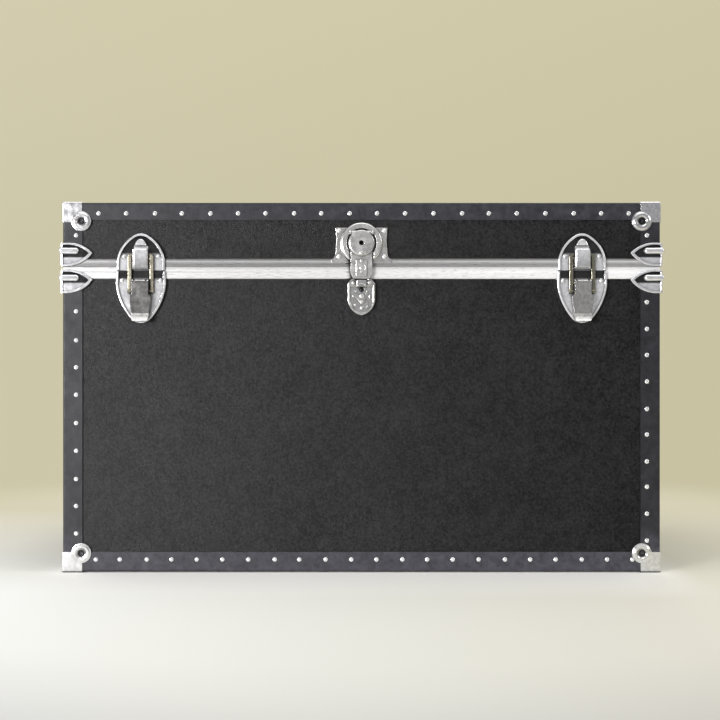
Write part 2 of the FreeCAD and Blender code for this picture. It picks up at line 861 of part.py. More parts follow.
def at_corners(shape, z, up):
    """Copies of a shape made at one corner, with its inner sides towards +X, +Y
    and +Z, at the box's four corners; up is -1 to turn it upside down."""
    copies = []
    for side_x, side_y in CORNER_SIGNS:
        start = Vec(side_x * float(d.width) / 2, side_y * float(d.depth) / 2, float(z))
        copies.append(turned(shape, Vec(-side_x, 0, 0), Vec(0, -side_y, 0), Vec(0, 0, up), start))
    return copies


def corner_cap():
    """Three plates at right angles, each a square with a round lobe and a nail
    hole, drawn as one shell with a rounded outer corner. The lobes of the two
    upright plates carry a raised ring round a sunk well."""
    t, side = float(d.cap_t), float(d.cap_side)
    at, lobe_r, hole_r = float(d.cap_lobe_at), float(d.cap_lobe_r), float(d.cap_hole_r)
    past, rise = float(d.overrun), float(d.cap_ring_rise)
    outer = Part.makeBox(side + t, side + t, side + t, Vec(-t, -t, -t))
    edges = [edge for edge in outer.Edges
             if sum(near(value, -t) for value in (
                 edge.BoundBox.XMax, edge.BoundBox.YMax, edge.BoundBox.ZMax)) == 2]
    cap = outer.makeFillet(float(d.cap_round), edges)
    cap = cap.cut(Part.makeBox(side + past, side + past, side + past, Vec(0, 0, 0)))
    lobes, holes = [], []
    for place, along in ((Vec(-t, at, at), Vec(1, 0, 0)), (Vec(at, -t, at), Vec(0, 1, 0)),
                         (Vec(at, at, -t), Vec(0, 0, 1))):
        lobes.append(Part.makeCylinder(lobe_r, t, place, along))
        start = place - along * past
        holes.append(Part.makeCylinder(hole_r, past + t + past, start, along))
    for place, away in ((Vec(-t, at, at), Vec(-1, 0, 0)), (Vec(at, -t, at), Vec(0, -1, 0))):
        ring = Part.makeCone(float(d.cap_ring_r), float(d.cap_ring_top_r), rise, place, away)
        well = Part.makeCone(float(d.cap_well_foot_r), float(d.cap_well_r), rise, place, away)
        lobes.append(ring.cut(well))
    return cap.fuse(lobes).cut(Part.Compound(holes)).removeSplitter()


def leaf_face(reach, height, tip_up, bulge, inset):
    """A leaf outline on the XZ plane: straight along the corner edge, two bowed
    sides to a tip, drawn in by an inset."""
    low, high = Vec(0, 0, inset), Vec(0, 0, height - inset)
    tip = Vec(reach - 2 * inset, 0, tip_up)
    edges = [Part.LineSegment(low, high).toShape()]
    for start, end, side in ((high, tip, -1), (tip, low, -1)):
        span = end - start
        across = Vec(-span.z, 0, span.x).normalize() * side
        radius = bulge - inset
        sag = radius - math.sqrt(radius * radius - span.Length ** 2 / 4)
        middle = (start + end) / 2 - across * sag
        edges.append(Part.Arc(start, middle, end).toShape())
    return Part.Face(Part.Wire(edges))


def clamp_wing():
    """One wing of a clamp, on the face that looks to -Y: a dished leaf with a
    round rib that runs out from the corner."""
    reach, height = float(d.clamp_reach), float(d.clamp_height)
    tip_up, bulge = float(d.clamp_tip_up), float(d.clamp_bulge_r)
    web, rim = float(d.clamp_t), float(d.clamp_rim)
    leaf = leaf_face(reach, height, tip_up, bulge, 0).extrude(Vec(0, -rim, 0))
    bowl = leaf_face(reach, height, tip_up, bulge, float(d.clamp_rim_w))
    leaf = leaf.cut(bowl.extrude(Vec(0, web - rim, 0)).translated(Vec(0, -web, 0)))
    bead = [edge for edge in leaf.Edges if lies_at(edge, rim) and near(edge.BoundBox.XMax, reach)]
    leaf = leaf.makeFillet(float(d.clamp_rim_round), bead)
    rib_r, rib_len, rib_up = float(d.clamp_rib_r), float(d.clamp_rib_len), float(d.clamp_rib_up)
    rib = Part.makeCylinder(rib_r, rib_len, Vec(0, -web, rib_up), Vec(1, 0, 0))
    end = Part.makeSphere(rib_r, Vec(rib_len, -web, rib_up))
    proud = web + rib_r
    outside = Part.makeBox(reach, proud, height, Vec(0, -proud, 0))
    return leaf.fuse(rib.fuse(end).common(outside))


def clamp():
    """Two wings that meet round an upright corner edge."""
    web, rim, height = float(d.clamp_t), float(d.clamp_rim), float(d.clamp_height)
    wing = clamp_wing()
    other = turned(wing, Vec(0, 1, 0), Vec(1, 0, 0), Vec(0, 0, 1), Vec(0, 0, 0))
    corner = Part.makeBox(rim, rim, height, Vec(-rim, -rim, 0))
    edge = [e for e in corner.Edges if near(e.BoundBox.XMax, -rim) and near(e.BoundBox.YMax, -rim)]
    corner = corner.makeFillet(rim - web / 2, edge)
    rib_r = float(d.clamp_rib_r)
    proud = web + rib_r
    ball = Part.makeSphere(rib_r, Vec(-web, -web, float(d.clamp_rib_up)))
    block = Part.makeBox(proud, proud, height, Vec(-proud, -proud, 0))
    return wing.fuse([other, corner, ball.common(block)]).removeSplitter()


def make_corners():
    cap = corner_cap()
    sets = {
        "bottom_corner_caps": at_corners(cap, d.cap_t, 1),
        "top_corner_caps": at_corners(cap, total_height - d.cap_t, -1),
        "lid_valance_clamps": at_corners(clamp(), seam + d.lid_clamp_drop, 1),
        "base_valance_clamps": at_corners(
            clamp(), seam - d.base_clamp_top - d.clamp_height, 1),
    }
    for label, copies in sets.items():
        finish(shaped(label, Part.Compound(copies), middle_y), label)


# Draw latches


def dish(body, name, outline, recess):
    """A pressed plate: a bead along the outline, sunk inside the recess. The bead
    is rounded but for the foot that lies under the lever's lip."""
    pad_front(body, f"{name}_outline", outline, 0, d.rim_out)
    fillet(body, d.rim_round, lambda edge: lies_at(edge, d.rim_out)
           and edge.CenterOfMass.z > -float(d.strike_foot_drop))
    cut_front(body, f"{name}_recess", recess, d.plate_t, d.rim_out + d.overrun)


def catch_outline(inset, foot):
    half, top_half = d.catch_half - inset, d.catch_top_half - inset * RECESS_CORNER_SHARE
    top = d.catch_top - inset
    side_r, top_r = d.catch_side_r - inset, d.catch_top_r - inset
    return [(-half, foot), (half, foot), (half, d.catch_shoulder, side_r),
            (top_half, top, top_r), (-top_half, top, side_r), (-half, d.catch_shoulder)]


def latch_catch(prefix, x):
    """The plate on the lid, with the nose whose throat opens upwards and a lobe
    above the throat that carries on the nose's outline."""
    body = new_body(f"{prefix}_latch_catch_plate")
    inset = d.rim_w
    dish(body, "catch", catch_outline(0, -d.catch_drop),
         catch_outline(inset, -d.catch_drop - d.overrun))
    front = d.throat_in + d.lip_t
    foot_slope = front * NOSE_FOOT_SHARE
    pad_side_middle(body, "nose", [
        (d.plate_t, -d.nose_drop), (front - foot_slope, -d.nose_drop),
        (front, -d.nose_drop + foot_slope), (front, d.lip_top - d.lip_t / 2),
        (front - d.lip_t / 2, d.lip_top), (d.throat_in, d.lip_top),
        (d.throat_in, d.throat_floor), (d.plate_t, d.throat_floor)], 2 * d.nose_half)
    fillet(body, d.nose_round, lambda edge: lies_at(edge, front)
           and near(abs(edge.CenterOfMass.x), d.nose_half))
    above, beside = d.lip_top + d.overrun, d.nose_half + d.overrun
    for hand, name in ((-1, "left_shoulder"), (1, "right_shoulder")):
        cut_front(body, name, [
            (hand * d.nose_half, d.nose_shoulder), (hand * beside, d.nose_shoulder),
            (hand * beside, above), (hand * d.nose_top_half, above),
            (hand * d.nose_top_half, d.lip_top, -d.nose_side_r)],
            d.throat_in - d.lip_t, front + d.overrun)
    pad_front(body, "lobe", [
        (-d.lobe_half, d.lobe_low), (d.lobe_half, d.lobe_low, d.lobe_side_r),
        (d.lobe_top_half, d.lobe_shoulder, d.lobe_top_r),
        (-d.lobe_top_half, d.lobe_shoulder, d.lobe_side_r)], d.plate_t, d.lobe_out)
    fillet(body, d.lobe_round, lambda edge: lies_at(edge, d.lobe_out))
    bore_front(body, "rivet_holes", [(-d.catch_rivet_x, d.catch_rivet_up),
                                     (d.catch_rivet_x, d.catch_rivet_up)],
               d.rivet_r, -d.overrun, d.rim_out + d.overrun)
    place_at(body, x, front_y, seam)
    finish(body, f"{prefix}_latch_catch_plate")


def strike_outline(inset, top):
    half, top_half = d.strike_half - inset, d.strike_top_half - inset
    foot_half = d.strike_foot_half - inset * RECESS_CORNER_SHARE
    foot = -d.strike_foot_drop + inset
    side_r, foot_r = d.strike_side_r - inset, d.strike_foot_r - inset
    return [(top_half, top), (-top_half, top), (-half, -d.strike_wide_drop, side_r),
            (-foot_half, foot, foot_r), (foot_half, foot, side_r), (half, -d.strike_wide_drop)]


def latch_base(prefix, x):
    """The plate on the base, with two ears for the lever's pin."""
    body = new_body(f"{prefix}_latch_base_plate")
    inset = d.rim_w
    dish(body, "strike", strike_outline(0, -d.strike_top_drop),
         strike_outline(inset, -d.strike_top_drop + d.overrun))
    pivot = -d.latch_pivot_drop
    ear_out = d.lever_top_half - d.lever_wall - d.ear_play
    for hand, name in ((-1, "left_ear"), (1, "right_ear")):
        start = -ear_out if hand < 0 else ear_out - d.ear_t
        ear(body, name, d.plate_t, (d.latch_pivot_out, pivot), d.ear_r, start, start + d.ear_t)
    bore_side(body, "pin_bore", (d.latch_pivot_out, pivot), d.lever_pin_r + d.pin_play,
              2 * d.lever_top_half)
    bore_front(body, "rivet_holes", [(-d.strike_rivet_x, -d.strike_rivet_drop),
                                     (d.strike_rivet_x, -d.strike_rivet_drop)],
               d.rivet_r, -d.overrun, d.rim_out + d.overrun)
    place_at(body, x, front_y, seam)
    finish(body, f"{prefix}_latch_base_plate")


def latch_lever(prefix, x):
    """A pressed channel that turns on the base plate's ears. Its top rolls over
    the pin, its sides carry the link's pin and its foot flares to a finger lip."""
    body = new_body(f"{prefix}_latch_lever")
    pivot_out, pivot = d.latch_pivot_out, -d.latch_pivot_drop
    back = pivot_out - d.lever_roll_r
    knee, foot = pivot - d.lever_knee_drop, pivot - d.lever_foot_drop
    wide = pivot - d.lever_wide_drop
    skin = d.lever_skin
    pad_side_middle(body, "silhouette", [
        (back, pivot, d.lever_roll_r), (pivot_out, pivot + d.lever_roll_r, d.lever_roll_r),
        (pivot_out + d.lever_roll_r, pivot),
        (d.lever_front, pivot - d.lever_roll_r), (d.lever_front, knee, -d.lever_flare_r),
        (d.lever_lip_out, foot + skin / 2), (d.lever_lip_out - skin, foot, d.lever_flare_r + skin),
        (d.lever_front - skin, knee - skin),
        (back + (d.lever_front - back) * LEVER_BACK_SHARE, knee - (knee - wide) / 2),
        (back, wide + d.link_eye_r)], 2 * d.lever_wide_half)
    inner_r = d.lever_roll_r - skin
    cut_side_middle(body, "channel", [
        (-d.overrun, pivot + d.lever_roll_r + skin), (pivot_out, pivot + d.lever_roll_r + skin),
        (pivot_out, pivot + inner_r, inner_r),
        (pivot_out + inner_r, pivot), (d.lever_front - skin, pivot - d.lever_roll_r),
        (d.lever_front - skin, knee - d.lever_foot_drop), (-d.overrun, knee - d.lever_foot_drop)],
        2 * (d.lever_top_half - d.lever_wall))
    above, below = pivot + d.lever_roll_r + d.overrun, foot - d.overrun
    shoulder, waist = wide + d.lever_roll_r / 2, wide - d.lever_roll_r
    corner = d.lever_lip_corner_r
    for hand, name in ((-1, "left_trim"), (1, "right_trim")):
        far = hand * (d.lever_wide_half + d.overrun)
        cut_front(body, name, [
            (hand * d.lever_top_half, above), (hand * d.lever_top_half, shoulder),
            (hand * d.lever_wide_half, wide), (hand * d.lever_wide_half, waist),
            (hand * d.lever_foot_half, foot + corner, -corner),
            (hand * (d.lever_foot_half - corner), foot),
            (hand * (d.lever_foot_half - corner), below), (far, below), (far, above)],
            -d.overrun, d.lever_lip_out + d.overrun)
    wall = d.lever_wall
    inner = ((d.lever_top_half - wall, shoulder), (d.lever_wide_half - wall, wide),
             (d.lever_wide_half - wall, waist), (d.lever_foot_half - wall, below))
    cut_front(body, "belly", [(-x, z) for x, z in inner] + [(x, z) for x, z in inner[::-1]],
              -d.overrun, d.lever_front - skin)
    slot_out = d.lever_top_half - d.lever_wall
    slot_in = slot_out - d.ear_t - 2 * d.ear_play
    for hand, name in ((-1, "left_slot"), (1, "right_slot")):
        near_x, far_x = hand * slot_in, hand * slot_out
        cut_front(body, name, [
            (near_x, pivot), (far_x, pivot), (far_x, above), (near_x, above)],
            -d.overrun, d.lever_lip_out + d.overrun)
    bore_side(body, "pin_bore", (pivot_out, pivot), d.lever_pin_r + d.pin_play,
              2 * d.lever_wide_half + d.overrun)
    bore_side(body, "link_bore", (d.link_out, link_eye_z), d.link_pin_r + d.pin_play,
              2 * d.lever_wide_half + d.overrun)
    place_at(body, x, front_y, seam)
    finish(body, f"{prefix}_latch_lever")


def latch_link(prefix, x):
    """The loop that the lever pulls down: a cross bar that lies in the nose's
    throat and two side bars with rolled eyes."""
    body = new_body(f"{prefix}_latch_link")
    half, inner = d.link_half, d.link_half - d.link_bar_w
    back = d.link_out - d.link_t / 2
    r = d.link_corner_r
    pad_front(body, "loop", [
        (-half, link_eye_z), (-inner, link_eye_z), (-inner, d.link_bar_bottom),
        (inner, d.link_bar_bottom), (inner, link_eye_z), (half, link_eye_z),
        (half, d.link_bar_top - r, r), (half - r, d.link_bar_top),
        (-half + r, d.link_bar_top, r), (-half, d.link_bar_top - r)], back, back + d.link_t)
    fillet(body, d.link_round, lambda edge: lies_at(edge, back + d.link_t)
           and edge.CenterOfMass.z > float(link_eye_z))
    for start, name in ((-half, "left_eye"), (inner, "right_eye")):
        rod_side(body, name, (d.link_out, link_eye_z), d.link_eye_r, start, start + d.link_bar_w)
    bore_side(body, "eye_bore", (d.link_out, link_eye_z), d.link_pin_r + d.pin_play,
              2 * half + d.overrun)
    place_at(body, x, front_y, seam)
    finish(body, f"{prefix}_latch_link")


def latch_pin(label, place, radius, half, x):
    body = new_body(label)
    rod_side(body, "pin", place, radius, -half, half)
    place_at(body, x, front_y, seam)
    finish(body, label)


def make_latches():
    for prefix, side in (("left", -1), ("right", 1)):
        x = side * latch_x
        latch_catch(prefix, x)
        latch_base(prefix, x)
        latch_lever(prefix, x)
        latch_link(prefix, x)
        latch_pin(f"{prefix}_lever_pin", (d.latch_pivot_out, -d.latch_pivot_drop),
                  d.lever_pin_r, d.lever_top_half - d.pin_play, x)
        latch_pin(f"{prefix}_link_pin", (d.link_out, link_eye_z),
                  d.link_pin_r, d.link_half + d.pin_end, x)


# Hasp lock


def lock_plate():
    """The plate on the lid, with a raised collar round the boss and two lugs."""
    body = new_body("lock_plate")
    foot, half = d.lock_foot_half, d.lock_half
    arch, shoulder = d.lock_arch_half, d.lock_shoulder
    pivot, pivot_out = d.hasp_pivot_up, d.hasp_pivot_out
    waist = half * LOCK_WAIST_SHARE
    middle = (d.lock_waist + shoulder) / 2
    pad_front(body, "outline", [
        (-foot, d.lock_bottom), (foot, d.lock_bottom), (foot, d.lock_foot_top, -d.lock_foot_r),
        (half, d.lock_waist), (waist, middle), (half, shoulder), (arch, shoulder, d.collar_r),
        (-arch, shoulder), (-half, shoulder), (-waist, middle),
        (-half, d.lock_waist, -d.lock_foot_r), (-foot, d.lock_foot_top)], 0, d.plate_t)
    rod_front(body, "collar", (0, d.boss_up), d.collar_r, 0, d.collar_out)
    well = d.collar_r - d.collar_w
    bore_front(body, "well", [(0, d.boss_up)], well, d.plate_t, d.collar_out + d.overrun)
    gate, gate_foot = d.strap_half + d.strap_gap, d.boss_up - d.collar_r - d.overrun
    cut_front(body, "strap_gate", [
        (-gate, d.boss_up), (-gate, gate_foot), (gate, gate_foot), (gate, d.boss_up)],
        d.plate_t, d.collar_out + d.overrun)
    for radius, round_r in ((d.collar_r, d.collar_round), (well, d.plate_t)):
        fillet(body, round_r, lambda edge: lies_at(edge, d.collar_out)
               and near(edge.BoundBox.XLength, 2 * radius))
    lug_in = d.hasp_knuckle_half + d.lug_play
    seat = d.hasp_knuckle_r + d.lug_play
    cut_front(body, "knuckle_seat", [
        (-lug_in, pivot - seat), (lug_in, pivot - seat), (lug_in, pivot + seat),
        (-lug_in, pivot + seat)], d.plate_t, d.collar_out + d.overrun)
    for start, name in ((-lug_in - d.lug_t, "left_lug"), (lug_in, "right_lug")):
        ear(body, name, d.plate_t, (pivot_out, pivot), d.lug_r, start, start + d.lug_t)
    bore_side(body, "pin_bore", (pivot_out, pivot), d.hasp_pin_r + d.pin_play, 2 * d.lock_half)
    places = [(side * d.lock_rivet_x, up) for side in (-1, 1)
              for up in (d.lock_rivet_up, d.lock_rivet_high)]
    bore_front(body, "rivet_holes", places, d.rivet_r, -d.overrun, d.collar_out + d.overrun)
    place_at(body, 0, front_y, seam)
    finish(body, "lock_plate")


def hasp_outline(inset):
    """The strap up to the middle of the boss, with its tapered foot."""
    half, foot_half = d.strap_half - inset, d.strap_foot_half - inset
    top = d.boss_up
    foot, taper = -d.strap_foot_drop + inset, -d.strap_taper_drop
    return [(-foot_half, foot), (foot_half, foot), (half, taper), (half, top), (-half, top),
            (-half, taper)]


def make_hasp():
    body = new_body("hasp_shell")
    inner_out = d.hasp_back_out + d.hasp_cover_t
    pad_front(body, "strap", hasp_outline(0), inner_out, d.strap_out)
    rod_front(body, "boss", (0, d.boss_up), d.boss_r, inner_out, d.boss_out)
    panel_half = d.strap_panel_half
    pad_front(body, "strap_panel", [
        (-panel_half, -d.strap_panel_foot), (panel_half, -d.strap_panel_foot),
        (panel_half, d.strap_panel_top), (-panel_half, d.strap_panel_top)],
        d.strap_out, d.strap_panel_out)
    fillet(body, d.boss_round, lambda edge: lies_at(edge, d.boss_out))
    pivot_place = (d.hasp_pivot_out, d.hasp_pivot_up)
    knuckle = d.hasp_knuckle_half
    behind, above = inner_out - d.overrun, d.boss_up + d.boss_r + d.overrun
    cut_side_middle(body, "back_slope", [
        (behind, d.hasp_pivot_up + d.boss_back_up), (inner_out, d.hasp_pivot_up + d.boss_back_up),
        (d.hasp_pivot_out, d.hasp_pivot_up + d.boss_back_rise), (d.hasp_pivot_out, above),
        (behind, above)], 2 * d.boss_r)
    rod_side(body, "knuckle", pivot_place, d.hasp_knuckle_r, -knuckle, knuckle)
    bore_side(body, "pin_bore", pivot_place, d.hasp_pin_r + d.pin_play,
              2 * knuckle + d.overrun)
    bore_front(body, "cavity", [(0, d.boss_up)], d.cavity_r, inner_out - d.overrun, d.cavity_out)
    channel = d.bolt_half + d.bolt_play
    channel_out = inner_out + d.bolt_t + 2 * d.bolt_play
    cut_front(body, "bolt_channel", [
        (-channel, -d.strap_foot_drop - d.overrun), (channel, -d.strap_foot_drop - d.overrun),
        (channel, d.boss_up), (-channel, d.boss_up)], inner_out - d.overrun, channel_out)
    bore_front(body, "plug_bore", [(0, d.boss_up)], d.plug_r + d.pin_play,
               inner_out - d.overrun, d.boss_out + d.overrun)
    place_at(body, 0, front_y, seam)
    finish(body, "hasp_shell")

    cover = new_body("hasp_back_cover")
    pad_front(cover, "cover", hasp_outline(d.pin_end), d.hasp_back_out, inner_out)
    rod_front(cover, "boss_cover", (0, d.boss_up), d.cover_r, d.hasp_back_out, inner_out)
    place_at(cover, 0, front_y, seam)
    finish(cover, "hasp_back_cover")

    pin = new_body("hasp_pin")
    half = knuckle + d.lug_play + d.lug_t + d.pin_end
    rod_side(pin, "pin", pivot_place, d.hasp_pin_r, -half, half)
    place_at(pin, 0, front_y, seam)
    finish(pin, "hasp_pin")

    plug = new_body("key_plug")
    plug_front = d.boss_out - d.plug_recess
    pin_x, pin_up = d.bolt_throw / 2, d.boss_up + d.bolt_throw / 2
    rod_front(plug, "cam", (0, d.boss_up), d.cam_r, d.cam_back, d.cam_front)
    rod_front(plug, "barrel", (0, d.boss_up), d.plug_r, d.cam_front, plug_front)
    rod_front(plug, "cam_pin", (pin_x, pin_up), d.cam_pin_r, d.cam_pin_back, d.cam_back)
    way, length = d.keyway_w / 2, d.keyway_len / 2
    cut_front(plug, "keyway", [
        (-way, d.boss_up - length), (way, d.boss_up - length), (way, d.boss_up + length),
        (-way, d.boss_up + length)], plug_front - d.keyway_deep, plug_front + d.overrun)
    place_at(plug, 0, front_y, seam)
    finish(plug, "key_plug")

    bolt = new_body("lock_bolt")
    bolt_back = inner_out + d.bolt_play
    bolt_foot = -d.strap_foot_drop + d.pin_end
    bolt_front = bolt_back + d.bolt_t
    head_low, head_high = d.boss_up - d.bolt_head_down, d.boss_up + d.bolt_head_up
    head = d.bolt_head_half
    pad_front(bolt, "bar", [
        (-d.bolt_half, bolt_foot), (d.bolt_half, bolt_foot), (d.bolt_half, head_low),
        (head, head_low), (head, head_high), (-head, head_high), (-head, head_low),
        (-d.bolt_half, head_low)], bolt_back, bolt_front)
    slack = d.cam_pin_r + d.cam_slot_play
    slot_from, slot_to = pin_x - slack, pin_x / math.cos(math.radians(CAM_START_DEG)) + slack
    slot = d.cam_slot_half
    cut_front(bolt, "cam_slot", [
        (slot_from, pin_up - slot), (slot_to, pin_up - slot), (slot_to, pin_up + slot),
        (slot_from, pin_up + slot)], bolt_back - d.overrun, bolt_front + d.overrun)
    place_at(bolt, 0, front_y, seam)
    finish(bolt, "lock_bolt")


def keeper_outline(seat):
    half, waist = d.keeper_half, d.keeper_waist_half
    horn_in, horn_out = d.keeper_horn_in, d.keeper_horn_half
    top, foot_r = -d.keeper_horn_drop, d.keeper_foot_r
    return [(-horn_in, seat), (-horn_in, top), (-horn_out, top), (-half, -d.keeper_wide_top),
            (-half, -d.keeper_wide_foot), (-waist, -d.keeper_waist_drop, foot_r),
            (0, -d.keeper_tip_drop, foot_r), (waist, -d.keeper_waist_drop),
            (half, -d.keeper_wide_foot), (half, -d.keeper_wide_top), (horn_out, top),
            (horn_in, top), (horn_in, seat)]


def make_keeper():
    """The shield on the base that takes the bolt."""
    body = new_body("lock_keeper")
    seat = -d.keeper_seat_drop
    pad_front(body, "outline", keeper_outline(seat), 0, d.keeper_rim)
    waist, rim = d.keeper_waist_half - d.keeper_rim_w, d.keeper_rim_w
    low = -d.keeper_wide_top - rim
    cut_front(body, "recess", [
        (-d.keeper_half + rim, low), (-d.keeper_half + rim, -d.keeper_wide_foot),
        (-waist, -d.keeper_waist_drop, d.keeper_foot_r - rim),
        (0, -d.keeper_tip_drop + rim, d.keeper_foot_r - rim), (waist, -d.keeper_waist_drop),
        (d.keeper_half - rim, -d.keeper_wide_foot), (d.keeper_half - rim, low)],
        d.plate_t, d.keeper_rim + d.overrun)
    fillet(body, d.keeper_rim_round, lambda edge: lies_at(edge, d.keeper_rim)
           and edge.CenterOfMass.z < -float(d.keeper_wide_top))
    inner_out = d.hasp_back_out + d.hasp_cover_t
    socket_in, socket_out = inner_out, inner_out + d.bolt_t + 2 * d.bolt_play
    pad_front(body, "socket_block", [
        (-d.socket_half, seat - d.socket_deep - d.socket_wall),
        (d.socket_half, seat - d.socket_deep - d.socket_wall),
        (d.socket_half, seat), (-d.socket_half, seat)], 0, socket_out + d.socket_wall)
    gap = d.bolt_half + 2 * d.bolt_play
    sketch = new_sketch(body, "socket", "XY_Plane", seat + d.overrun)
    draw_outline(sketch, [(-gap, -socket_out), (gap, -socket_out), (gap, -socket_in),
                          (-gap, -socket_in)])
    sweep_sketch(body, "Pocket", sketch, d.socket_deep + d.overrun)
    rod_front(body, "rosette", (0, -d.rosette_drop), d.rosette_r, 0, d.rosette_out)
    bore_front(body, "rivet_holes", [(0, -d.keeper_rivet_drop), (0, -d.keeper_low_rivet_drop)],
               d.rivet_r, -d.overrun, d.keeper_rim + d.overrun)
    place_at(body, 0, front_y, seam)
    finish(body, "lock_keeper")


# Rear hinges, with their own x and z as seen from the front


def hinge_leaf(name, up, x):
    """One leaf against the rear wall; up is +1 for the lid's."""
    body = new_body(name)
    half, height, r = d.leaf_half, d.leaf_height, d.leaf_corner_r
    foot = up * (d.knuckle_r + d.knuckle_play)
    corners = [(-half, foot), (half, foot), (half, up * (height - r), r),
               (half - r, up * height), (-half + r, up * height, r), (-half, up * (height - r))]
    sketch = new_sketch(body, "leaf", "XZ_Plane", -d.leaf_t)
    draw_outline(sketch, corners)
    sweep_sketch(body, "Pad", sketch, d.leaf_t)
    knuckle, play = d.knuckle_half, d.knuckle_play
    spans = [(-knuckle, knuckle)] if up > 0 else [
        (-half, -knuckle - play), (knuckle + play, half)]
    lift = hinge_out
    for index, (start, end) in enumerate(spans):
        neck = [(0, up * (d.knuckle_r + play)), (-d.leaf_t, up * (d.knuckle_r + play)),
                (-lift, up * d.knuckle_r), (-lift, 0), (-d.knuckle_lift, 0)]
        pad_side(body, f"neck_{index}", neck, start, end)
        rod_side(body, f"knuckle_{index}", (-lift, 0), d.knuckle_r, start, end)
    bore_side(body, "pin_bore", (-lift, 0), d.hinge_pin_r + d.pin_play,
              2 * half + d.overrun)
    places = [(side * d.hinge_rivet_x, up * d.hinge_rivet_up) for side in (-1, 1)]
    bore_front(body, "rivet_holes", places, d.rivet_r, -d.leaf_t - d.overrun, d.overrun)
    place_at(body, x, rear_y, seam)
    return body


def make_hinges():
    leaves = {1: [], -1: []}
    pins = []
    for index in (-1, 0, 1):
        x = index * hinge_spacing
        for up, word in ((1, "lid"), (-1, "base")):
            leaves[up].append(hinge_leaf(f"{word}_leaf_{index + 2}", up, x))
        pin = new_body(f"hinge_pin_{index + 2}")
        half = d.leaf_half + d.pin_end
        rod_side(pin, "pin", (-hinge_out, 0), d.hinge_pin_r, -half, half)
        place_at(pin, x, rear_y, seam)
        pins.append(pin)
    group("lid_hinge_leaves", leaves[1])
    group("base_hinge_leaves", leaves[-1])
    group("hinge_pins", pins)


# Side handles, drawn facing +X and turned for the left side


def handle_bracket(name, y, side):
    """A plate with a barrel, along Y, for one end of the handle."""
    body = new_body(name)
    half, up, down, r = d.bracket_half, d.bracket_up, d.bracket_down, d.bracket_corner_r
    sketch = new_sketch(body, "plate", "YZ_Plane", 0)
    draw_outline(sketch, [
        (-half + r, -down), (half - r, -down, r), (half, r - down), (half, up - r, r),
        (half - r, up), (r - half, up, r), (-half, up - r), (-half, r - down, r)])
    sweep_sketch(body, "Pad", sketch, d.bracket_plate_t)
    length = d.bracket_barrel_len
    sketch = new_sketch(body, "barrel", "XZ_Plane", -length / 2)
    draw_circle(sketch, (d.handle_out, 0), d.bracket_barrel_r)
    sweep_sketch(body, "Pad", sketch, length)
    sketch = new_sketch(body, "web", "XZ_Plane", -length / 2)
    web = d.bracket_barrel_r
    draw_outline(sketch, [(0, -web), (d.handle_out, -web), (d.handle_out, web), (0, web)])
    sweep_sketch(body, "Pad", sketch, length)
    sketch = new_sketch(body, "bore", "XZ_Plane", 0)
    draw_circle(sketch, (d.handle_out, 0), d.handle_r + d.pin_play)
    sweep_sketch(body, "Pocket", sketch, 2 * length, symmetric=True)
    sketch = new_sketch(body, "rivet_holes", "YZ_Plane", 0)
    for step in (-1, 1):
        draw_circle(sketch, (0, step * d.handle_rivet_up), d.rivet_r)
    sweep_sketch(body, "Pocket", sketch, 2 * (d.bracket_plate_t + d.overrun), symmetric=True)
    if side < 0:
        body.Placement = FreeCAD.Placement(Vec(0, 0, 0), FreeCAD.Rotation(Vec(0, 0, 1), 180))
    place_at(body, side * d.width / 2, middle_y + y, seam - d.handle_drop)
    return body


def make_handle(prefix, side):
    brackets = [handle_bracket(f"{prefix}_bracket_{word}", hand * d.handle_half, side)
                for hand, word in ((-1, "front"), (1, "rear"))]
    group(f"{prefix}_handle_brackets", brackets)
    bar = new_body(f"{prefix}_handle_bar")
    path = new_sketch(bar, "path", "YZ_Plane", d.handle_out)
    leg = d.handle_half - d.bracket_barrel_len / 2 - d.handle_bend_r - d.handle_r
    end = d.handle_half + d.bracket_barrel_len / 2 + d.pin_end
    places = [(-end, 0), (-leg, 0), (-leg, -d.handle_fall), (leg, -d.handle_fall), (leg, 0),
              (end, 0)]
    draw_bent_path(path, places, d.handle_bend_r)
    section = new_sketch(bar, "section", "XZ_Plane", end)
    draw_circle(section, (d.handle_out, 0), d.handle_r)
    pipe = bar.newObject("PartDesign::AdditivePipe", f"{prefix}_pipe")
    pipe.Profile = section
    pipe.Spine = (path, [f"Edge{i + 1}" for i in range(path.GeometryCount)])
    doc.recompute()
    grip = new_body(f"{prefix}_handle_grip")
    grip_half = leg - d.handle_bend_r - d.grip_end_gap
    sketch = new_sketch(grip, "tube", "XZ_Plane", -grip_half)
    draw_circle(sketch, (d.handle_out, -d.handle_fall), d.grip_r)
    draw_circle(sketch, (d.handle_out, -d.handle_fall), d.handle_r + d.grip_play)
    sweep_sketch(grip, "Pad", sketch, 2 * grip_half)
    fillet(grip, d.grip_round, lambda edge: near(edge.BoundBox.ZLength, 2 * d.grip_r)
           and near(edge.BoundBox.YLength, 0))
    for body, word in ((bar, "bar"), (grip, "grip")):
        if side < 0:
            body.Placement = FreeCAD.Placement(Vec(0, 0, 0), FreeCAD.Rotation(Vec(0, 0, 1), 180))
        place_at(body, side * d.width / 2, middle_y, seam - d.handle_drop)
        finish(body, f"{prefix}_handle_{word}")


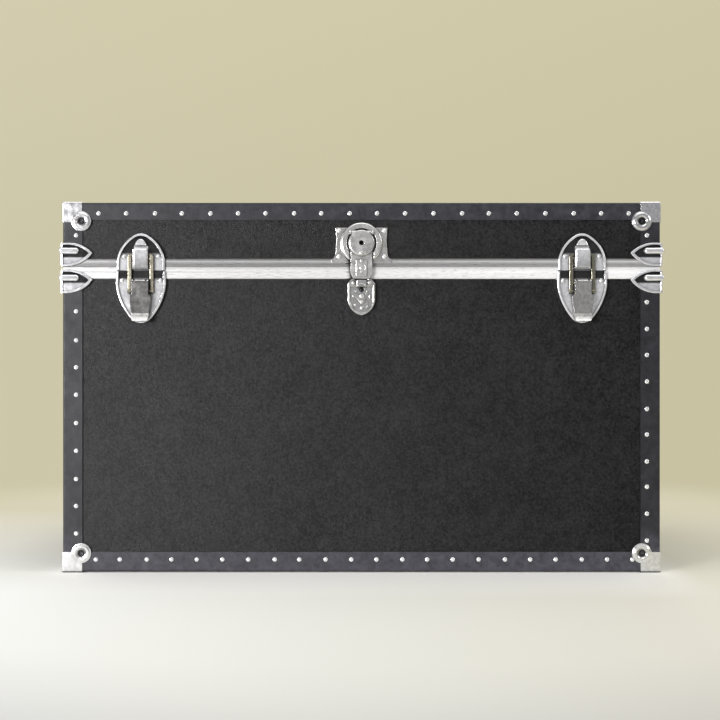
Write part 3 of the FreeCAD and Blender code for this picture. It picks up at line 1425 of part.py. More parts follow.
def draw_bent_path(sketch, places, radius):
    """Straight runs between places, with a tangent arc at each turn."""
    marks = [Vec(float(u), float(v), 0) for u, v in places]
    runs = [(marks[i + 1] - marks[i]).normalize() for i in range(len(marks) - 1)]
    r = float(radius)
    ends = []
    for i, run in enumerate(runs):
        start = marks[i] + run * (r if i > 0 else 0)
        end = marks[i + 1] - run * (r if i < len(runs) - 1 else 0)
        ends.append((start, end))

    def place(i, run, sign):
        u, v = places[i]
        return (u + sign * round(run.x) * radius, v + sign * round(run.y) * radius)

    last = len(ends) - 1
    for i, (start, end) in enumerate(ends):
        sketch.addGeometry(Part.LineSegment(start, end), False)
        if i < last:
            turn = 1 if runs[i].cross(runs[i + 1]).z > 0 else -1
            arc, _ = arc_through(end, ends[i + 1][0], r, turn)
            sketch.addGeometry(arc, False)
    for i in range(len(ends)):
        line = 2 * i
        fix_point(sketch, line, 1, place(i, runs[i], 1) if i > 0 else places[0])
        fix_point(sketch, line, 2, place(i + 1, runs[i], -1) if i < last else places[-1])
        if i < last:
            turns_left = runs[i].cross(runs[i + 1]).z > 0
            tips = (1, 2) if turns_left else (2, 1)
            for other, point, tip in ((line, 2, tips[0]), (line + 2, 1, tips[1])):
                sketch.addConstraint(
                    Sketcher.Constraint("Coincident", other, point, line + 1, tip))
            row = sketch.addConstraint(Sketcher.Constraint("Radius", line + 1, r))
            sketch.setExpression(f"Constraints[{row}]", radius.text)


def make_rivets():
    for label in dict.fromkeys(row[0] for row in RIVETS):
        solids = [rivet_solid(*row[1:]) for row in RIVETS if row[0] == label]
        finish(shaped(label, Part.Compound(solids), middle_y), label)


def check_document():
    """Stops if any object of the document failed."""
    doc.recompute()
    bad = [item.Name for item in doc.Objects if {"Invalid", "Error"} & set(item.State)]
    if bad:
        raise RuntimeError(f"failed objects: {bad}")
    for item in pieces:
        if item.Shape.isNull() or not item.Shape.isValid() or not item.Shape.Solids:
            raise RuntimeError(f"bad shape: {item.Label}")


make_box()
make_edge_strips()
make_closure()
make_corners()
make_latches()
lock_plate()
make_hasp()
make_keeper()
make_hinges()
for prefix, side in (("left", -1), ("right", 1)):
    make_handle(prefix, side)
make_rivets()
check_document()

os.makedirs("parts", exist_ok=True)
for item in pieces:
    item.Shape.exportStep(f"parts/{item.Label}.step")
print(f"{len(pieces)} sub-parts written")
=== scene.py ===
import json
import math
import random

import bmesh
import bpy
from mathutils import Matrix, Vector


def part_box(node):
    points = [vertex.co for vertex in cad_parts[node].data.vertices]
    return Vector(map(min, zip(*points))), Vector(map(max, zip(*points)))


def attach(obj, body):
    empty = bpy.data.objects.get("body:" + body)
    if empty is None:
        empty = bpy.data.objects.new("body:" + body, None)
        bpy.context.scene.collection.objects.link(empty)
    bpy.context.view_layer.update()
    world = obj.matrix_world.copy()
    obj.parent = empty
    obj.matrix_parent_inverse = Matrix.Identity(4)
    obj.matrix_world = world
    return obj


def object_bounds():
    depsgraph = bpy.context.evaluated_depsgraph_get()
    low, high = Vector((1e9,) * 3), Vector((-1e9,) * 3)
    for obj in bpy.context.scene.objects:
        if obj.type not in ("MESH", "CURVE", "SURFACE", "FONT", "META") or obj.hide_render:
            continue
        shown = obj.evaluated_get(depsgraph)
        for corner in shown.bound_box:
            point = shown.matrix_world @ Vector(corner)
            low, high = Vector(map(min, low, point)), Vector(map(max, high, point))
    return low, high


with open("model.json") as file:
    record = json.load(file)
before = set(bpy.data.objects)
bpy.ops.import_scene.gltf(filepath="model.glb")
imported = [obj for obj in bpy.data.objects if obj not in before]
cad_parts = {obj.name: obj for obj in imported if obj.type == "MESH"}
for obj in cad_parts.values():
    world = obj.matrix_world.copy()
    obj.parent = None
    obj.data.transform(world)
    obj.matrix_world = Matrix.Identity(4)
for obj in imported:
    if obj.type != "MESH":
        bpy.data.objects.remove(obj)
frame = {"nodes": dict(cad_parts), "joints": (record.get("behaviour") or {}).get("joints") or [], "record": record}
cad_low, cad_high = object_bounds()
nodes = frame["nodes"]

# Places of the trunk, in metres

MM = 0.001
strip_low, strip_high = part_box("base_bottom_binding")
HALF_W = strip_high.x
FRONT_Y, REAR_Y = strip_low.y, strip_high.y
MIDDLE_Y = (FRONT_Y + REAR_Y) / 2
SIDES = (("X", HALF_W), ("Y", (REAR_Y - FRONT_Y) / 2))
HEIGHT = cad_high.z
SEAM = next(joint["pos_m"][2] for joint in frame["joints"] if joint["name"] == "lid_hinge")
LATCH_X = sum(corner.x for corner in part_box("right_latch_lever")) / 2
BASE_BAND_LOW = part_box("base_valance")[0].z
LID_BAND_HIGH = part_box("lid_valance")[1].z
CAP_THICK = 1.2 * MM
# From the faces beside a corner to the middle of the ring in its cap
CAP_RING_AT = 23.6 * MM
# How far the frames of the latch plates stand before the front, in mm
LATCH_FRAME_OUT = 2.3


def rise(at):
    """The height of a place that is given in mm above the seam."""
    return SEAM + at * MM


# Node trees


def rgba(tone):
    """A colour with its alpha, from a grey tone or an RGB tuple."""
    return (*tone, 1) if isinstance(tone, tuple) else (tone, tone, tone, 1)


class Tree:
    """Short ways to add and link the nodes of a tree. Its place is a texture coordinate:
    the object's for a material, the direction for the world."""

    def __init__(self, tree, coordinate):
        self.tree = tree
        self.place = self.add("ShaderNodeTexCoord").outputs[coordinate]

    def add(self, kind, **inputs):
        """Adds a node with inputs by name, an underscore standing for each space."""
        node = self.tree.nodes.new(kind)
        for key, value in inputs.items():
            self.put(node, key.replace("_", " "), value)
        return node

    def put(self, node, key, value):
        """Links an input to an output, or sets its value."""
        socket = node.inputs[key]
        if isinstance(value, bpy.types.NodeSocket):
            self.tree.links.new(value, socket)
        else:
            socket.default_value = rgba(value) if socket.type == "RGBA" else value

    def part(self, axis, vector=None):
        """One part of a vector, of the place unless another is given."""
        return self.add("ShaderNodeSeparateXYZ", Vector=vector or self.place).outputs[axis]

    def ranged(self, value, start, end, low=0.0, high=1.0, kind="LINEAR"):
        """Grey that goes from low to high while a value goes from start to end."""
        node = self.add("ShaderNodeMapRange", Value=value, From_Min=start, From_Max=end,
                        To_Min=low, To_Max=high)
        node.interpolation_type = kind
        return node.outputs["Result"]

    def along(self, axis, start, end, low=0.0, high=1.0):
        """Grey that goes from low to high between two places along an axis."""
        return self.ranged(self.part(axis), start, end, low, high)

    def ramp(self, value, *stops):
        """Colour by stops of (value, tone)."""
        node = self.add("ShaderNodeValToRGB", Fac=value)
        elements = node.color_ramp.elements
        while len(elements) < len(stops):
            elements.new(0.5)
        for element, (at, tone) in zip(elements, stops):
            element.position = at
            element.color = rgba(tone)
        return node.outputs["Color"]

    def noise(self, scale, detail=3.0, rough=0.55, vector=None):
        node = self.add("ShaderNodeTexNoise", Vector=vector or self.place, Scale=scale,
                        Detail=detail, Roughness=rough)
        return node.outputs["Fac"]

    def calc(self, kind, *values):
        node = self.add("ShaderNodeMath")
        node.operation = kind
        for i, value in enumerate(values):
            self.put(node, i, value)
        return node.outputs["Value"]

    def blend(self, kind, share, one, other):
        node = self.add("ShaderNodeMixRGB", Fac=share, Color1=one, Color2=other)
        node.blend_type = kind
        return node.outputs["Color"]

    def times(self, one, other):
        return self.blend("MULTIPLY", 1.0, one, other)

    def lighter(self, one, other):
        return self.blend("LIGHTEN", 1.0, one, other)


class Material(Tree):
    """A Principled material, and the normal that its next bump layer builds on."""

    def __init__(self, name, color, rough, metallic=0.0, specular=0.5):
        self.mat = bpy.data.materials.new(name)
        self.mat.use_nodes = True
        self.mat.diffuse_color = rgba(color)
        super().__init__(self.mat.node_tree, "Object")
        self.shader = self.tree.nodes["Principled BSDF"]
        self.normal = None
        self.shade(Base_Color=color, Roughness=rough, Metallic=metallic, Specular_IOR_Level=specular)

    def shade(self, **inputs):
        """Sets or links inputs of the Principled shader."""
        for key, value in inputs.items():
            self.put(self.shader, key.replace("_", " "), value)

    def stretched(self, *scale):
        """The place scaled along X, Y and Z, which draws a texture out."""
        return self.add("ShaderNodeMapping", Vector=self.place, Scale=scale).outputs["Vector"]

    def openness(self, distance, samples):
        """White in the open, darker the more faces stand within a distance."""
        node = self.add("ShaderNodeAmbientOcclusion", Distance=distance)
        node.samples = samples
        return node.outputs["AO"]

    def soften(self, radius):
        """Rounds the look of hard edges under the bump that follows."""
        node = self.add("ShaderNodeBevel", Radius=radius)
        node.samples = 6
        self.normal = node.outputs["Normal"]

    def bump(self, *layers):
        """Stacks bump layers of (height, strength, distance)."""
        for height, strength, distance in layers:
            node = self.add("ShaderNodeBump", Height=height, Strength=strength, Distance=distance)
            if self.normal:
                self.put(node, "Normal", self.normal)
            self.normal = node.outputs["Normal"]
        self.shade(Normal=self.normal)


# Painted shade: factors by place that dim a part of a piece where shade falls, its lit parts kept at full tone as
# painted highlights

# How far a painted shade blurs, and the share of a tone left in a sunk field as painted shade
BLUR = 0.3 * MM
SUNK_SHADE = 0.05


def off_middle(m, axis):
    """Distance from the trunk's middle along X or Y."""
    middle = MIDDLE_Y if axis == "Y" else 0.0
    return m.calc("ABSOLUTE", m.calc("SUBTRACT", m.part(axis), middle))


def proud_of_front(m, out):
    """White on what stands more than out mm before the front, black behind that."""
    face = FRONT_Y - out * MM
    return m.along("Y", face - BLUR, face + BLUR, 1.0, 0.0)


def proud(m, out):
    """White on what stands more than out mm off any upright side."""
    tones = []
    for axis, half in SIDES:
        face = half + out * MM
        tones.append(m.ranged(off_middle(m, axis), face - BLUR, face + BLUR))
    return m.lighter(*tones)


def by_latch(m, near, far):
    """White within near mm of the middle of either latch, black from far mm on."""
    off = m.calc("SUBTRACT", m.calc("ABSOLUTE", m.part("X")), LATCH_X)
    return m.ranged(m.calc("ABSOLUTE", off), near * MM, far * MM, 1.0, 0.0)


def gap_shade(m):
    """Painted shade, darker the nearer other faces stand, in the gap along the shut hasp's left side
    and in the one between the two plates of a latch, white elsewhere."""
    left, right, top = -20 * MM, -2 * MM, rise(18)
    shade = m.ramp(m.openness(9 * MM, 12), (0.7, 0.03), (0.8, 1.0))
    beside_it = m.lighter(m.along("X", left - MM, left + MM, 1.0, 0.0),
                          m.along("X", right - 2 * MM, right + 2 * MM))
    off_hasp = m.lighter(beside_it, m.along("Z", top - MM, top + MM))
    off_latch = m.calc("SUBTRACT", 1.0, by_latch(m, 30, 31))
    return m.lighter(shade, m.times(off_hasp, off_latch))


def catch_painted_shade(m):
    """Painted shade in the sunk field on both sides of the hood, and on the hood's lower part, which is duller."""
    nose, field_low, field_high, throat_top = rise(2), rise(12), rise(18), rise(26)
    throat = m.times(by_latch(m, 8.0, 9.5), m.along("Z", throat_top, throat_top + MM, 1.0, 0.0))
    field = m.lighter(m.along("Z", field_low, field_high, 1.0, SUNK_SHADE), throat)
    off_hood = m.calc("SUBTRACT", 1.0, by_latch(m, 10, 11))
    hood = m.lighter(off_hood, m.along("Z", nose, field_high, 0.6, 1.0))
    return m.times(m.lighter(proud_of_front(m, LATCH_FRAME_OUT), field), hood)


def strike_painted_shade(m):
    """Painted shade in the sunk top of the plate, under the link, and bright further down."""
    lower_part = m.along("Z", rise(-18), rise(-14), 1.0, SUNK_SHADE)
    return m.lighter(proud_of_front(m, LATCH_FRAME_OUT), lower_part)


def lever_painted_light(m):
    """Painted shade over the lever's length, more so on the left one, with a painted highlight on the lip."""
    lip = m.along("Z", rise(-60.5), rise(-59), 1.0, 0.0)
    eyes = m.along("Z", rise(-20), rise(-18), 0.0, 0.7)
    return m.lighter(m.lighter(lip, eyes), m.along("X", -LATCH_X, LATCH_X, 0.2, 0.5))


def clamp_painted_shade(m):
    """Painted shade in the sunk upper field of each clamp, above its rib."""
    up = m.along("Z", rise(-35), rise(32))
    field = m.ramp(up, (0.2, 1.0), (0.225, SUNK_SHADE), (0.49, SUNK_SHADE), (0.52, 1.0),
                   (0.69, 1.0), (0.71, SUNK_SHADE))
    return m.lighter(proud(m, 1.9), field)


def well_painted_shade(m, middle):
    """Painted shade in the wells of the caps' rings, whose middle lies at a height."""
    well, rim = 4.4 * MM, 5.8 * MM
    up = m.calc("SUBTRACT", m.part("Z"), middle)
    tones = []
    for axis, half in SIDES:
        off = m.calc("SUBTRACT", off_middle(m, axis), half - CAP_RING_AT)
        square = m.calc("ADD", m.calc("MULTIPLY", off, off), m.calc("MULTIPLY", up, up))
        tones.append(m.ranged(m.calc("SQRT", square), well, rim, 0.06, 1.0))
    return m.times(*tones)


# Painted shade in the wells of the top caps, and below in those of the bottom caps
def top_wells_painted_shade(m):
    return well_painted_shade(m, HEIGHT - CAP_THICK - CAP_RING_AT)


def bottom_wells_painted_shade(m):
    return well_painted_shade(m, CAP_THICK + CAP_RING_AT)


def plate_painted_shade(m):
    """Painted shade: a little dull on the lock plate's flat foot and dark in the gap, bright on its collar as a
    painted highlight.
    """
    return m.times(m.lighter(proud_of_front(m, 2.6), 0.78), gap_shade(m))


def keeper_painted_shadow(m):
    """Bright on the keeper's lower rivets, dark with the hasp's painted shadow on its upper ones."""
    return m.along("Z", rise(-40), rise(-34), 1.0, SUNK_SHADE)


# Materials


def vinyl():
    """Black vinyl with a fine grain, mottled in three sizes and shinier on the left."""
    m = Material("vinyl_black_grain", (0.014, 0.014, 0.016), 0.55, specular=0.2)
    mottle = 0.0
    for share, noise in ((0.2, m.noise(16.0, 5.0, 0.65)), (0.2, m.noise(75.0, 4.0, 0.6)),
                         (0.6, m.noise(330.0, 3.0, 0.6))):
        mottle = m.calc("MULTIPLY_ADD", noise, share, mottle)
    m.shade(Base_Color=m.ramp(mottle, (0.39, 0.001), (0.61, (0.016, 0.016, 0.017))),
            Roughness=m.ramp(m.noise(45.0, 4.0), (0.3, 0.35), (0.7, 0.47)),
            Specular_IOR_Level=m.along("X", -HALF_W, HALF_W, 0.275, 0.13))
    pores = m.add("ShaderNodeTexVoronoi", Vector=m.place, Scale=520.0)
    pores.feature = "DISTANCE_TO_EDGE"
    m.bump((m.noise(210.0, 5.0, 0.75), 0.85, 0.0011),
           (m.ramp(pores.outputs["Distance"], (0.0, 0.0), (0.16, 1.0)), 0.5, 0.0003))
    return m.mat


def binding():
    """Fibre strip, worn in spots, with painted shade to the left and painted light at the bottom and the top."""
    m = Material("fibre_binding_black", (0.035, 0.035, 0.042), 0.45, specular=0.3)
    tone = m.ramp(m.noise(95.0, 6.0, 0.7), (0.32, (0.012, 0.012, 0.015)), (0.7, (0.033, 0.033, 0.04)))
    # Painted shade darkens the strip to the left; painted light makes it paler at the bottom and the top
    tone = m.times(tone, m.along("X", -HALF_W, HALF_W, 0.68, 1.0))
    ends = m.ramp(m.along("Z", 0.0, HEIGHT), (0.06, 2.0), (0.12, 0.75), (0.91, 0.75), (0.95, 1.25))
    m.shade(Base_Color=m.times(tone, ends),
            Roughness=m.ramp(m.noise(60.0), (0.3, 0.4), (0.7, 0.55)))
    m.bump((m.noise(700.0, 3.0, 0.6), 0.3, 0.0003), (m.noise(60.0), 0.2, 0.0012))
    return m.mat


def metal(name, color, rough, metallic=1.0, spread=0.05, edge=0.5 * MM, dents=0.18, dark=0.8,
          hollow_shade=0.12, painted_shade=None):
    """Plated steel: softened edges, shallow dents that break up the reflections, a thin
    haze of dulled spots and painted shade in the hollows. A painted shade factor by place dims a part of the
    piece."""
    m = Material(name, color, rough, metallic)
    dulled = tuple(dark * share for share in color)
    tone = m.ramp(m.noise(240.0, 4.0, 0.65), (0.36, dulled), (0.6, color))
    # Painted shade in the hollows, darker the nearer other faces stand
    tone = m.times(tone, m.ramp(m.openness(7 * MM, 8), (0.4, hollow_shade), (0.78, 0.9), (0.95, 1.0)))
    if painted_shade:
        tone = m.times(tone, painted_shade(m))
    smooth, coarse = max(rough - spread, 0.04), rough + spread
    m.shade(Base_Color=tone, Roughness=m.ramp(m.noise(130.0, 4.0), (0.3, smooth), (0.7, coarse)))
    m.soften(edge)
    m.bump((m.noise(60.0, 1.5, 0.4), dents, 0.0016), (m.noise(900.0, 2.0), 0.03, 0.0002))
    return m.mat


def band(name, low, high, *profile):
    """Drawn aluminium band with painted reflections that follow its pressed profile from low to high. It
    is brighter to the right by painted light, and painted shade darkens it in each gap of the hardware."""
    rough = 0.3
    m = Material(name, (0.8, 0.8, 0.8), rough, metallic=0.55)
    streak = m.noise(40.0, 4.0, 0.6, m.stretched(2, 60, 60))
    tone = m.times(m.ramp(m.along("Z", low, high), *profile), m.ramp(streak, (0.3, 0.88), (0.7, 1.0)))
    # Painted light and shade across the trunk: darker to the left, brighter to the right
    across = m.times((1.0, 1.0, 0.985), m.along("X", -HALF_W, HALF_W, 0.5, 1.34))
    m.shade(Base_Color=m.times(m.times(tone, across), gap_shade(m)),
            Roughness=m.ramp(streak, (0.3, rough - 0.06), (0.7, rough + 0.08)))
    m.soften(0.5 * MM)
    m.bump((streak, 0.1, 0.0003), (m.noise(14.0, 2.0), 0.15, 0.002))
    return m.mat


def wood():
    m = Material("plywood_bare", (0.5, 0.36, 0.2), 0.6)
    grain = m.stretched(2, 30, 30)
    m.shade(Base_Color=m.ramp(m.noise(12.0, 5.0, vector=grain),
                              (0.3, (0.42, 0.28, 0.15)), (0.7, (0.62, 0.46, 0.28))))
    m.bump((m.noise(30.0, 4.0, vector=grain), 0.2, 0.0004))
    return m.mat


def lining():
    m = Material("lining_cloth", (0.32, 0.28, 0.21), 0.85, specular=0.25)
    m.shade(Base_Color=m.ramp(m.noise(14.0, 4.0), (0.3, (0.28, 0.24, 0.18)), (0.7, (0.36, 0.31, 0.24))))
    threads = []
    for direction in "XZ":
        wave = m.add("ShaderNodeTexWave", Vector=m.place, Scale=320.0, Distortion=0.6)
        wave.bands_direction = direction
        threads.append((wave.outputs["Fac"], 0.3, 0.0003))
    m.bump(*threads)
    return m.mat


def plastic():
    m = Material("grip_black", (0.03, 0.03, 0.033), 0.4)
    m.shade(Base_Color=m.ramp(m.noise(80.0), (0.3, (0.022, 0.022, 0.025)), (0.7, (0.04, 0.04, 0.044))))
    m.bump((m.noise(700.0, 2.0), 0.25, 0.0002))
    return m.mat


# Materials of the record's slots, then those of single nodes by the ends of their names

MATERIALS = {
    "vinyl": vinyl(),
    "fibre_binding": binding(),
    "plywood": wood(),
    "lining": lining(),
    "grip": plastic(),
    # The base band's bright tones are painted reflections of the light from above
    "aluminium_band": band("aluminium_base_band", BASE_BAND_LOW, SEAM,
                           (0.0, 0.8), (0.2, 0.92), (0.7, 0.93), (0.88, 0.75), (1.0, 0.5)),
    "plated_steel": metal("nickel_plate", (0.78, 0.78, 0.8), 0.16, edge=0.8 * MM),
    "lock_metal": metal("nickel_plate_dull", (0.94, 0.93, 0.9), 0.24, spread=0.08,
                        edge=1.2 * MM, painted_shade=plate_painted_shade),
    "lock_inner": metal("steel_dull", (0.2, 0.2, 0.2), 0.35),
    "steel_pin": metal("steel_pin", (0.78, 0.78, 0.8), 0.2),
    "rivet": metal("nickel_rivet", (0.93, 0.93, 0.94), 0.16, 0.7, dents=0.1, hollow_shade=0.5),
}
OWN = {
    # The lid band's darker tones are painted reflections and shade, a shaded copy of the base band
    "lid_valance": band("aluminium_lid_band", SEAM, LID_BAND_HIGH,
                        (0.0, 0.4), (0.2, 0.27), (0.45, 0.36), (0.66, 0.6), (0.78, 0.3), (1.0, 0.12)),
    "latch_catch_plate": metal("nickel_latch_catch", (0.93, 0.93, 0.94), 0.14, 0.73,
                               edge=0.35 * MM, painted_shade=catch_painted_shade),
    "latch_base_plate": metal("nickel_latch_strike", (0.93, 0.93, 0.94), 0.16, 0.75,
                              edge=0.35 * MM, painted_shade=strike_painted_shade),
    "latch_lever": metal("nickel_latch_lever", (0.9, 0.89, 0.86), 0.22, 0.8, spread=0.08,
                         dark=0.7, painted_shade=lever_painted_light),
    "latch_link": metal("nickel_latch_link", (0.34, 0.32, 0.25), 0.26, hollow_shade=0.03),
    "lock_keeper": metal("nickel_keeper", (0.76, 0.76, 0.74), 0.2, spread=0.08, edge=0.9 * MM,
                         hollow_shade=0.02),
    "hasp_shell": metal("nickel_hasp", (0.74, 0.73, 0.71), 0.3, spread=0.08, edge=0.8 * MM,
                        hollow_shade=0.02),
    "valance_clamps": metal("nickel_clamp", (0.88, 0.88, 0.9), 0.14, 0.8, edge=0.9 * MM,
                            painted_shade=clamp_painted_shade),
    "top_corner_caps": metal("nickel_cap_top", (0.8, 0.8, 0.81), 0.18, edge=0.8 * MM,
                             painted_shade=top_wells_painted_shade),
    "bottom_corner_caps": metal("nickel_cap_bottom", (0.84, 0.84, 0.85), 0.2, edge=0.8 * MM,
                                painted_shade=bottom_wells_painted_shade),
    # Near black over the whole key plug: painted shade that stands for the dark keyway
    "key_plug": metal("keyhole_painted_shade", (0.012, 0.012, 0.012), 0.5),
    "keeper_rivets": metal("nickel_keeper_rivet", (0.8, 0.8, 0.82), 0.2, painted_shade=keeper_painted_shadow),
}

for entry in frame["record"]["subparts"]:
    own = [material for ending, material in OWN.items() if entry["node"].endswith(ending)]
    used = nodes[entry["node"]].data.materials
    used.clear()
    used.append(own[0] if own else MATERIALS[entry["material_slot"]])


# Meshes


def bridge(bm, rows, closed=True):
    """Faces between rows of vertices. Closed rows are rings."""
    for low, high in zip(rows, rows[1:]):
        for i in range(len(low) if closed else len(low) - 1):
            j = (i + 1) % len(low)
            bm.faces.new((low[i], low[j], high[j], high[i]))


def make_object(bm, name, material):
    mesh = bpy.data.meshes.new(name)
    bm.to_mesh(mesh)
    bm.free()
    mesh.materials.append(material)
    obj = bpy.data.objects.new(name, mesh)
    bpy.context.scene.collection.objects.link(obj)
    return obj


def finish_piece(bm, name, material, body):
    obj = make_object(bm, name, MATERIALS[material])
    for face in obj.data.polygons:
        face.use_smooth = True
    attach(obj, body)


# Nails of the edge strips

NAIL_RADIUS, NAIL_HEIGHT, FLAT_NAIL_HEIGHT = 3.0 * MM, 1.5 * MM, 1.1 * MM
NAIL_JITTER = 1.1


def nail(bm, at, out, radius=NAIL_RADIUS, height=NAIL_HEIGHT):
    """A low dome with a rounded rim on a face that looks along out."""
    turn = out.to_track_quat("Z", "Y").to_matrix().to_4x4()
    rings = ((1.0, -0.05), (1.0, 0.25), (0.86, 0.62), (0.55, 0.9), (0.2, 1.0))
    sides = 14
    rows = []
    for width, lift in rings:
        rows.append([bm.verts.new(Vector(at) + turn @ Vector((
            radius * width * math.cos(math.tau * i / sides),
            radius * width * math.sin(math.tau * i / sides), height * lift)))
            for i in range(sides)])
    bridge(bm, rows)
    bm.faces.new(rows[-1])


def nail_row(bm, start, end, count, out, rng, height=NAIL_HEIGHT):
    """Nails along a run, each a little off its even spacing."""
    start, end = Vector(start), Vector(end)
    for i in range(count):
        jitter = rng.uniform(-NAIL_JITTER, NAIL_JITTER) * MM
        at = start.lerp(end, i / (count - 1)) + (end - start).normalized() * jitter
        nail(bm, at, out, height=height)


def nails():
    """Rows of nails on all the strips: front and back, both ends, top and bottom."""
    rng = random.Random(7)
    lid, base = bmesh.new(), bmesh.new()
    top_z, low_z, lid_corner_z = HEIGHT - 15 * MM, 16.6 * MM, 430 * MM
    inset, flat_inset = 17 * MM, 16 * MM
    # The photo's long rows lie a little to the right of the middle
    shift = 3 * MM
    for y, out in ((FRONT_Y, Vector((0, -1, 0))), (REAR_Y, Vector((0, 1, 0)))):
        nail_row(lid, (shift - 338 * MM, y, top_z), (shift + 338 * MM, y, top_z), 20, out, rng)
        nail_row(base, (shift - 343 * MM, y, low_z), (shift + 343 * MM, y, low_z), 22, out, rng)
        for side, count, low, high in ((-1, 9, 49, 332), (1, 10, 41.5, 344)):
            x = side * (HALF_W - inset)
            nail_row(base, (x, y, low * MM), (x, y, high * MM), count, out, rng)
            nail(lid, (x, y, lid_corner_z), out)
    for side in (-1, 1):
        x, out = side * HALF_W, Vector((side, 0, 0))
        nail_row(lid, (x, FRONT_Y + 48 * MM, top_z), (x, REAR_Y - 48 * MM, top_z), 11, out, rng)
        nail_row(base, (x, FRONT_Y + 44 * MM, low_z), (x, REAR_Y - 44 * MM, low_z), 12, out, rng)
        for y in (FRONT_Y + inset, REAR_Y - inset):
            nail_row(base, (x, y, 45 * MM), (x, y, 338 * MM), 9, out, rng)
            nail(lid, (x, y, lid_corner_z), out)
    for z, out, bm in ((HEIGHT - CAP_THICK, Vector((0, 0, 1)), lid),
                       (CAP_THICK, Vector((0, 0, -1)), base)):
        for y in (FRONT_Y + flat_inset, REAR_Y - flat_inset):
            nail_row(bm, (-335 * MM, y, z), (335 * MM, y, z), 18, out, rng, FLAT_NAIL_HEIGHT)
        for x in (-HALF_W + flat_inset, HALF_W - flat_inset):
            start, end = (x, FRONT_Y + 50 * MM, z), (x, REAR_Y - 50 * MM, z)
            nail_row(bm, start, end, 10, out, rng, FLAT_NAIL_HEIGHT)
    finish_piece(lid, "lid_nails", "rivet", "lid")
    finish_piece(base, "base_nails", "rivet", "trunk_base")


nails()

# Pressed ornament of the lock, with places in mm from the middle and above the seam


def front_of(node, x, z):
    """Where a CAD node's surface is met from the front at a place."""
    hit, at, _, _ = nodes[node].ray_cast(Vector((x * MM, -1, rise(z))), Vector((0, 1, 0)))
    return at.y if hit else FRONT_Y


def boss(bm, node, x, z, radius, height):
    """A round boss that stands on a node's front."""
    nail(bm, (x * MM, front_of(node, x, z), rise(z)), Vector((0, -1, 0)), radius * MM, height * MM)


def ridge(bm, node, points, radius):
    """A half round ridge along points of a node's front, tapered to both ends."""
    sides = 8
    last = len(points) - 1
    rows = []
    for i, (x, z) in enumerate(points):
        run = (Vector(points[min(i + 1, last)]) - Vector(points[max(i - 1, 0)])).normalized()
        thick = radius * (0.35 + 0.65 * math.sin(math.pi * i / last)) * MM
        y = front_of(node, x, z)
        ring = []
        for j in range(sides):
            across = thick * math.cos(math.tau * j / sides)
            out = thick * math.sin(math.tau * j / sides)
            ring.append(bm.verts.new((x * MM - run.y * across, y - out, rise(z) + run.x * across)))
        rows.append(ring)
    bridge(bm, rows)
    bm.faces.new(rows[0])
    bm.faces.new(rows[-1])
    bmesh.ops.recalc_face_normals(bm, faces=bm.faces)


def arc(x, z, radius, start, end, side=1, count=13):
    """Points of an arc in the front plane, angles in degrees from +X to +Z. Side -1
    mirrors it to the left."""
    turns = [math.radians(start + (end - start) * i / (count - 1)) for i in range(count)]
    return [(side * (x + radius * math.cos(turn)), z + radius * math.sin(turn)) for turn in turns]


def ornament():
    """Ring, scrolls and bosses on the keeper, bosses and two curls on the hasp."""
    keeper = bmesh.new()
    ridge(keeper, "lock_keeper", arc(0, -26, 4.6, -50, 230, count=19), 0.8)
    for side in (-1, 1):
        boss(keeper, "lock_keeper", side * 10.2, -20.5, 2.6, 1.3)
        boss(keeper, "lock_keeper", side * 7.0, -31.5, 1.7, 0.9)
        ridge(keeper, "lock_keeper", arc(6.4, -38.5, 4.2, 130, -120, side), 0.85)
        ridge(keeper, "lock_keeper", arc(1.5, -46.0, 7.4, 5, -60, side), 0.8)
    boss(keeper, "lock_keeper", 0, -37.5, 3.0, 1.3)
    boss(keeper, "lock_keeper", 0, -45.2, 2.3, 1.0)
    finish_piece(keeper, "keeper_ornament", "lock_metal", "trunk_base")
    hasp = bmesh.new()
    for z, radius in ((16.8, 2.6), (7.4, 2.3), (-1.9, 2.8), (-7.6, 1.5)):
        boss(hasp, "hasp_shell", 0, z, radius, 0.9)
    for side in (-1, 1):
        ridge(hasp, "hasp_shell", arc(1.0, -2.2, 4.4, 60, -60, side), 0.5)
    finish_piece(hasp, "hasp_ornament", "lock_metal", "hasp")


ornament()

# Stage, light and camera

WALL_LEFT, WALL_RIGHT = (0.615, 0.574, 0.402), (0.577, 0.539, 0.366)
WALL_OPPOSITE = (0.4, 0.4, 0.41)
# Floor tones with painted light and shade: paler left, darker right, and painted light at the trunk's foot
FLOOR_LEFT, FLOOR_RIGHT = (0.85, 0.86, 0.84), (0.66, 0.64, 0.545)
FLOOR_BACK = (0.6, 0.565, 0.43)
FLOOR_FOOT_LIGHT = (0.97, 0.965, 0.93)
PHOTO_PX, FOCAL_PX = 720, 1254.4
SENSOR_MM = 36
DISTANCE = 1.6
EYE_X, EYE_Z = -1.9 * MM, 271.05 * MM


def wall_tone(m, direction):
    """The backdrop's colour in a direction: the wall behind the trunk, a little darker
    to the right, and a neutral grey on the side that its front looks at."""
    side = m.ranged(m.part("X", direction), -0.3, 0.3)
    front = m.ranged(m.part("Y", direction), 0.5, -0.75)
    return m.blend("MIX", front, m.ramp(side, (0.0, WALL_LEFT), (1.0, WALL_RIGHT)), WALL_OPPOSITE)


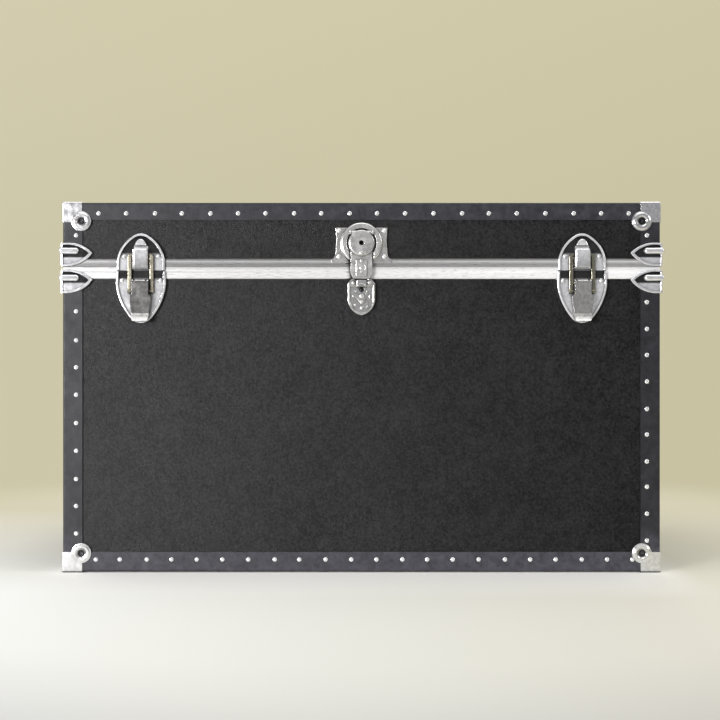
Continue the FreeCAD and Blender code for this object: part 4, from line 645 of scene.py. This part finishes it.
def floor_paper():
    """Painted light and shade: paler to the left and darker to the right, turning darker and yellower
    further back, brighter towards the trunk and whitest at its foot, where painted light lifts the trunk's shadow.
    Further off it glows in the wall's tone, so that no line shows between floor and wall. Places are in metres
    from the trunk's middle."""
    m = Material("floor_paper", (0.8, 0.78, 0.74), 0.9, specular=0.1)
    near = m.ramp(m.along("X", -0.5, 0.5), (0.0, FLOOR_LEFT), (1.0, FLOOR_RIGHT))
    paper = m.blend("MIX", m.along("Y", -0.35, 0.45), near, FLOOR_BACK)
    # Painted light towards the trunk's front and at its foot, where the trunk's shadow falls
    paper = m.times(paper, m.along("Y", -0.75, -0.3, 1.0, 1.14))
    under = m.ranged(off_middle(m, "X"), 0.34, 0.42, 1.0, 0.0)
    foot = m.times(m.along("Y", -0.4, -0.24), under)
    m.shade(Base_Color=m.blend("MIX", foot, paper, FLOOR_FOOT_LIGHT))
    measures = []
    for kind, output in (("NORMALIZE", "Vector"), ("LENGTH", "Value")):
        node = m.add("ShaderNodeVectorMath")
        node.operation = kind
        m.put(node, 0, m.place)
        measures.append(node.outputs[output])
    direction, far = measures
    glow = m.add("ShaderNodeEmission", Color=wall_tone(m, direction))
    blend = m.add("ShaderNodeMixShader", Fac=m.ranged(far, 0.7, 1.25, kind="SMOOTHSTEP"))
    m.put(blend, 1, m.shader.outputs["BSDF"])
    m.put(blend, 2, glow.outputs["Emission"])
    m.put(m.tree.nodes["Material Output"], "Surface", blend.outputs["Shader"])
    return m.mat


def floor():
    """A wide floor with a smaller square round the trunk."""
    edges = (-30, -2, 2, 30)
    bm = bmesh.new()
    bridge(bm, [[bm.verts.new((x, y, 0)) for x in edges] for y in edges], closed=False)
    obj = make_object(bm, "floor", floor_paper())


def surround():
    """The wall's colour all round at the horizon, a studio's light overhead."""
    world = bpy.data.worlds.new("studio")
    world.use_nodes = True
    m = Tree(world.node_tree, "Generated")
    over = m.along("Z", 0.32, 1.0)
    studio = m.ramp(over, (0.0, 0.25), (0.4, 0.3), (0.6, 0.9))
    wall = m.times(wall_tone(m, m.place), m.along("Z", 0.08, 0.27, 1.0, 1.065))
    sky = m.blend("MIX", m.ramp(over, (0.0, 0.0), (0.15, 1.0)), wall, studio)
    m.put(m.tree.nodes["Background"], "Color", sky)
    bpy.context.scene.world = world


def area(name, place, target, size, power, color):
    light = bpy.data.lights.new(name, "AREA")
    light.shape = "RECTANGLE"
    light.size, light.size_y = size
    light.energy = power
    light.color = color
    obj = bpy.data.objects.new(name, light)
    obj.location = place
    obj.rotation_euler = (Vector(target) - Vector(place)).to_track_quat("-Z", "Y").to_euler()
    bpy.context.scene.collection.objects.link(obj)


def camera():
    """A level camera that looks square at the front, as the photo's does."""
    data = bpy.data.cameras.new("camera")
    data.sensor_width = SENSOR_MM
    data.lens = SENSOR_MM * FOCAL_PX / PHOTO_PX
    data.clip_start = 0.05
    obj = bpy.data.objects.new("camera", data)
    obj.location = (EYE_X, FRONT_Y - DISTANCE, EYE_Z)
    obj.rotation_euler = (math.radians(90), 0, 0)
    bpy.context.scene.collection.objects.link(obj)
    bpy.context.scene.camera = obj


floor()
surround()
area("key", place=(-1.95, -2.7, 0.4), target=(0, 0, 0.2), size=(1.1, 0.8), power=125,
     color=(1.0, 0.985, 1.0))
area("fill", place=(3.0, -0.9, 1.6), target=(0, 0, 0.2), size=(0.8, 1.2), power=14,
     color=(1.0, 0.98, 0.95))
area("top", place=(0, -0.3, 2.6), target=(0, -0.1, 0), size=(2.4, 1.6), power=16,
     color=(1.0, 0.99, 0.97))
area("rear", place=(0.6, 2.6, 1.6), target=(0, 0, 0.2), size=(1.4, 1.0), power=16,
     color=(1.0, 0.99, 0.97))
camera()
bpy.context.scene.view_settings.view_transform = "Standard"
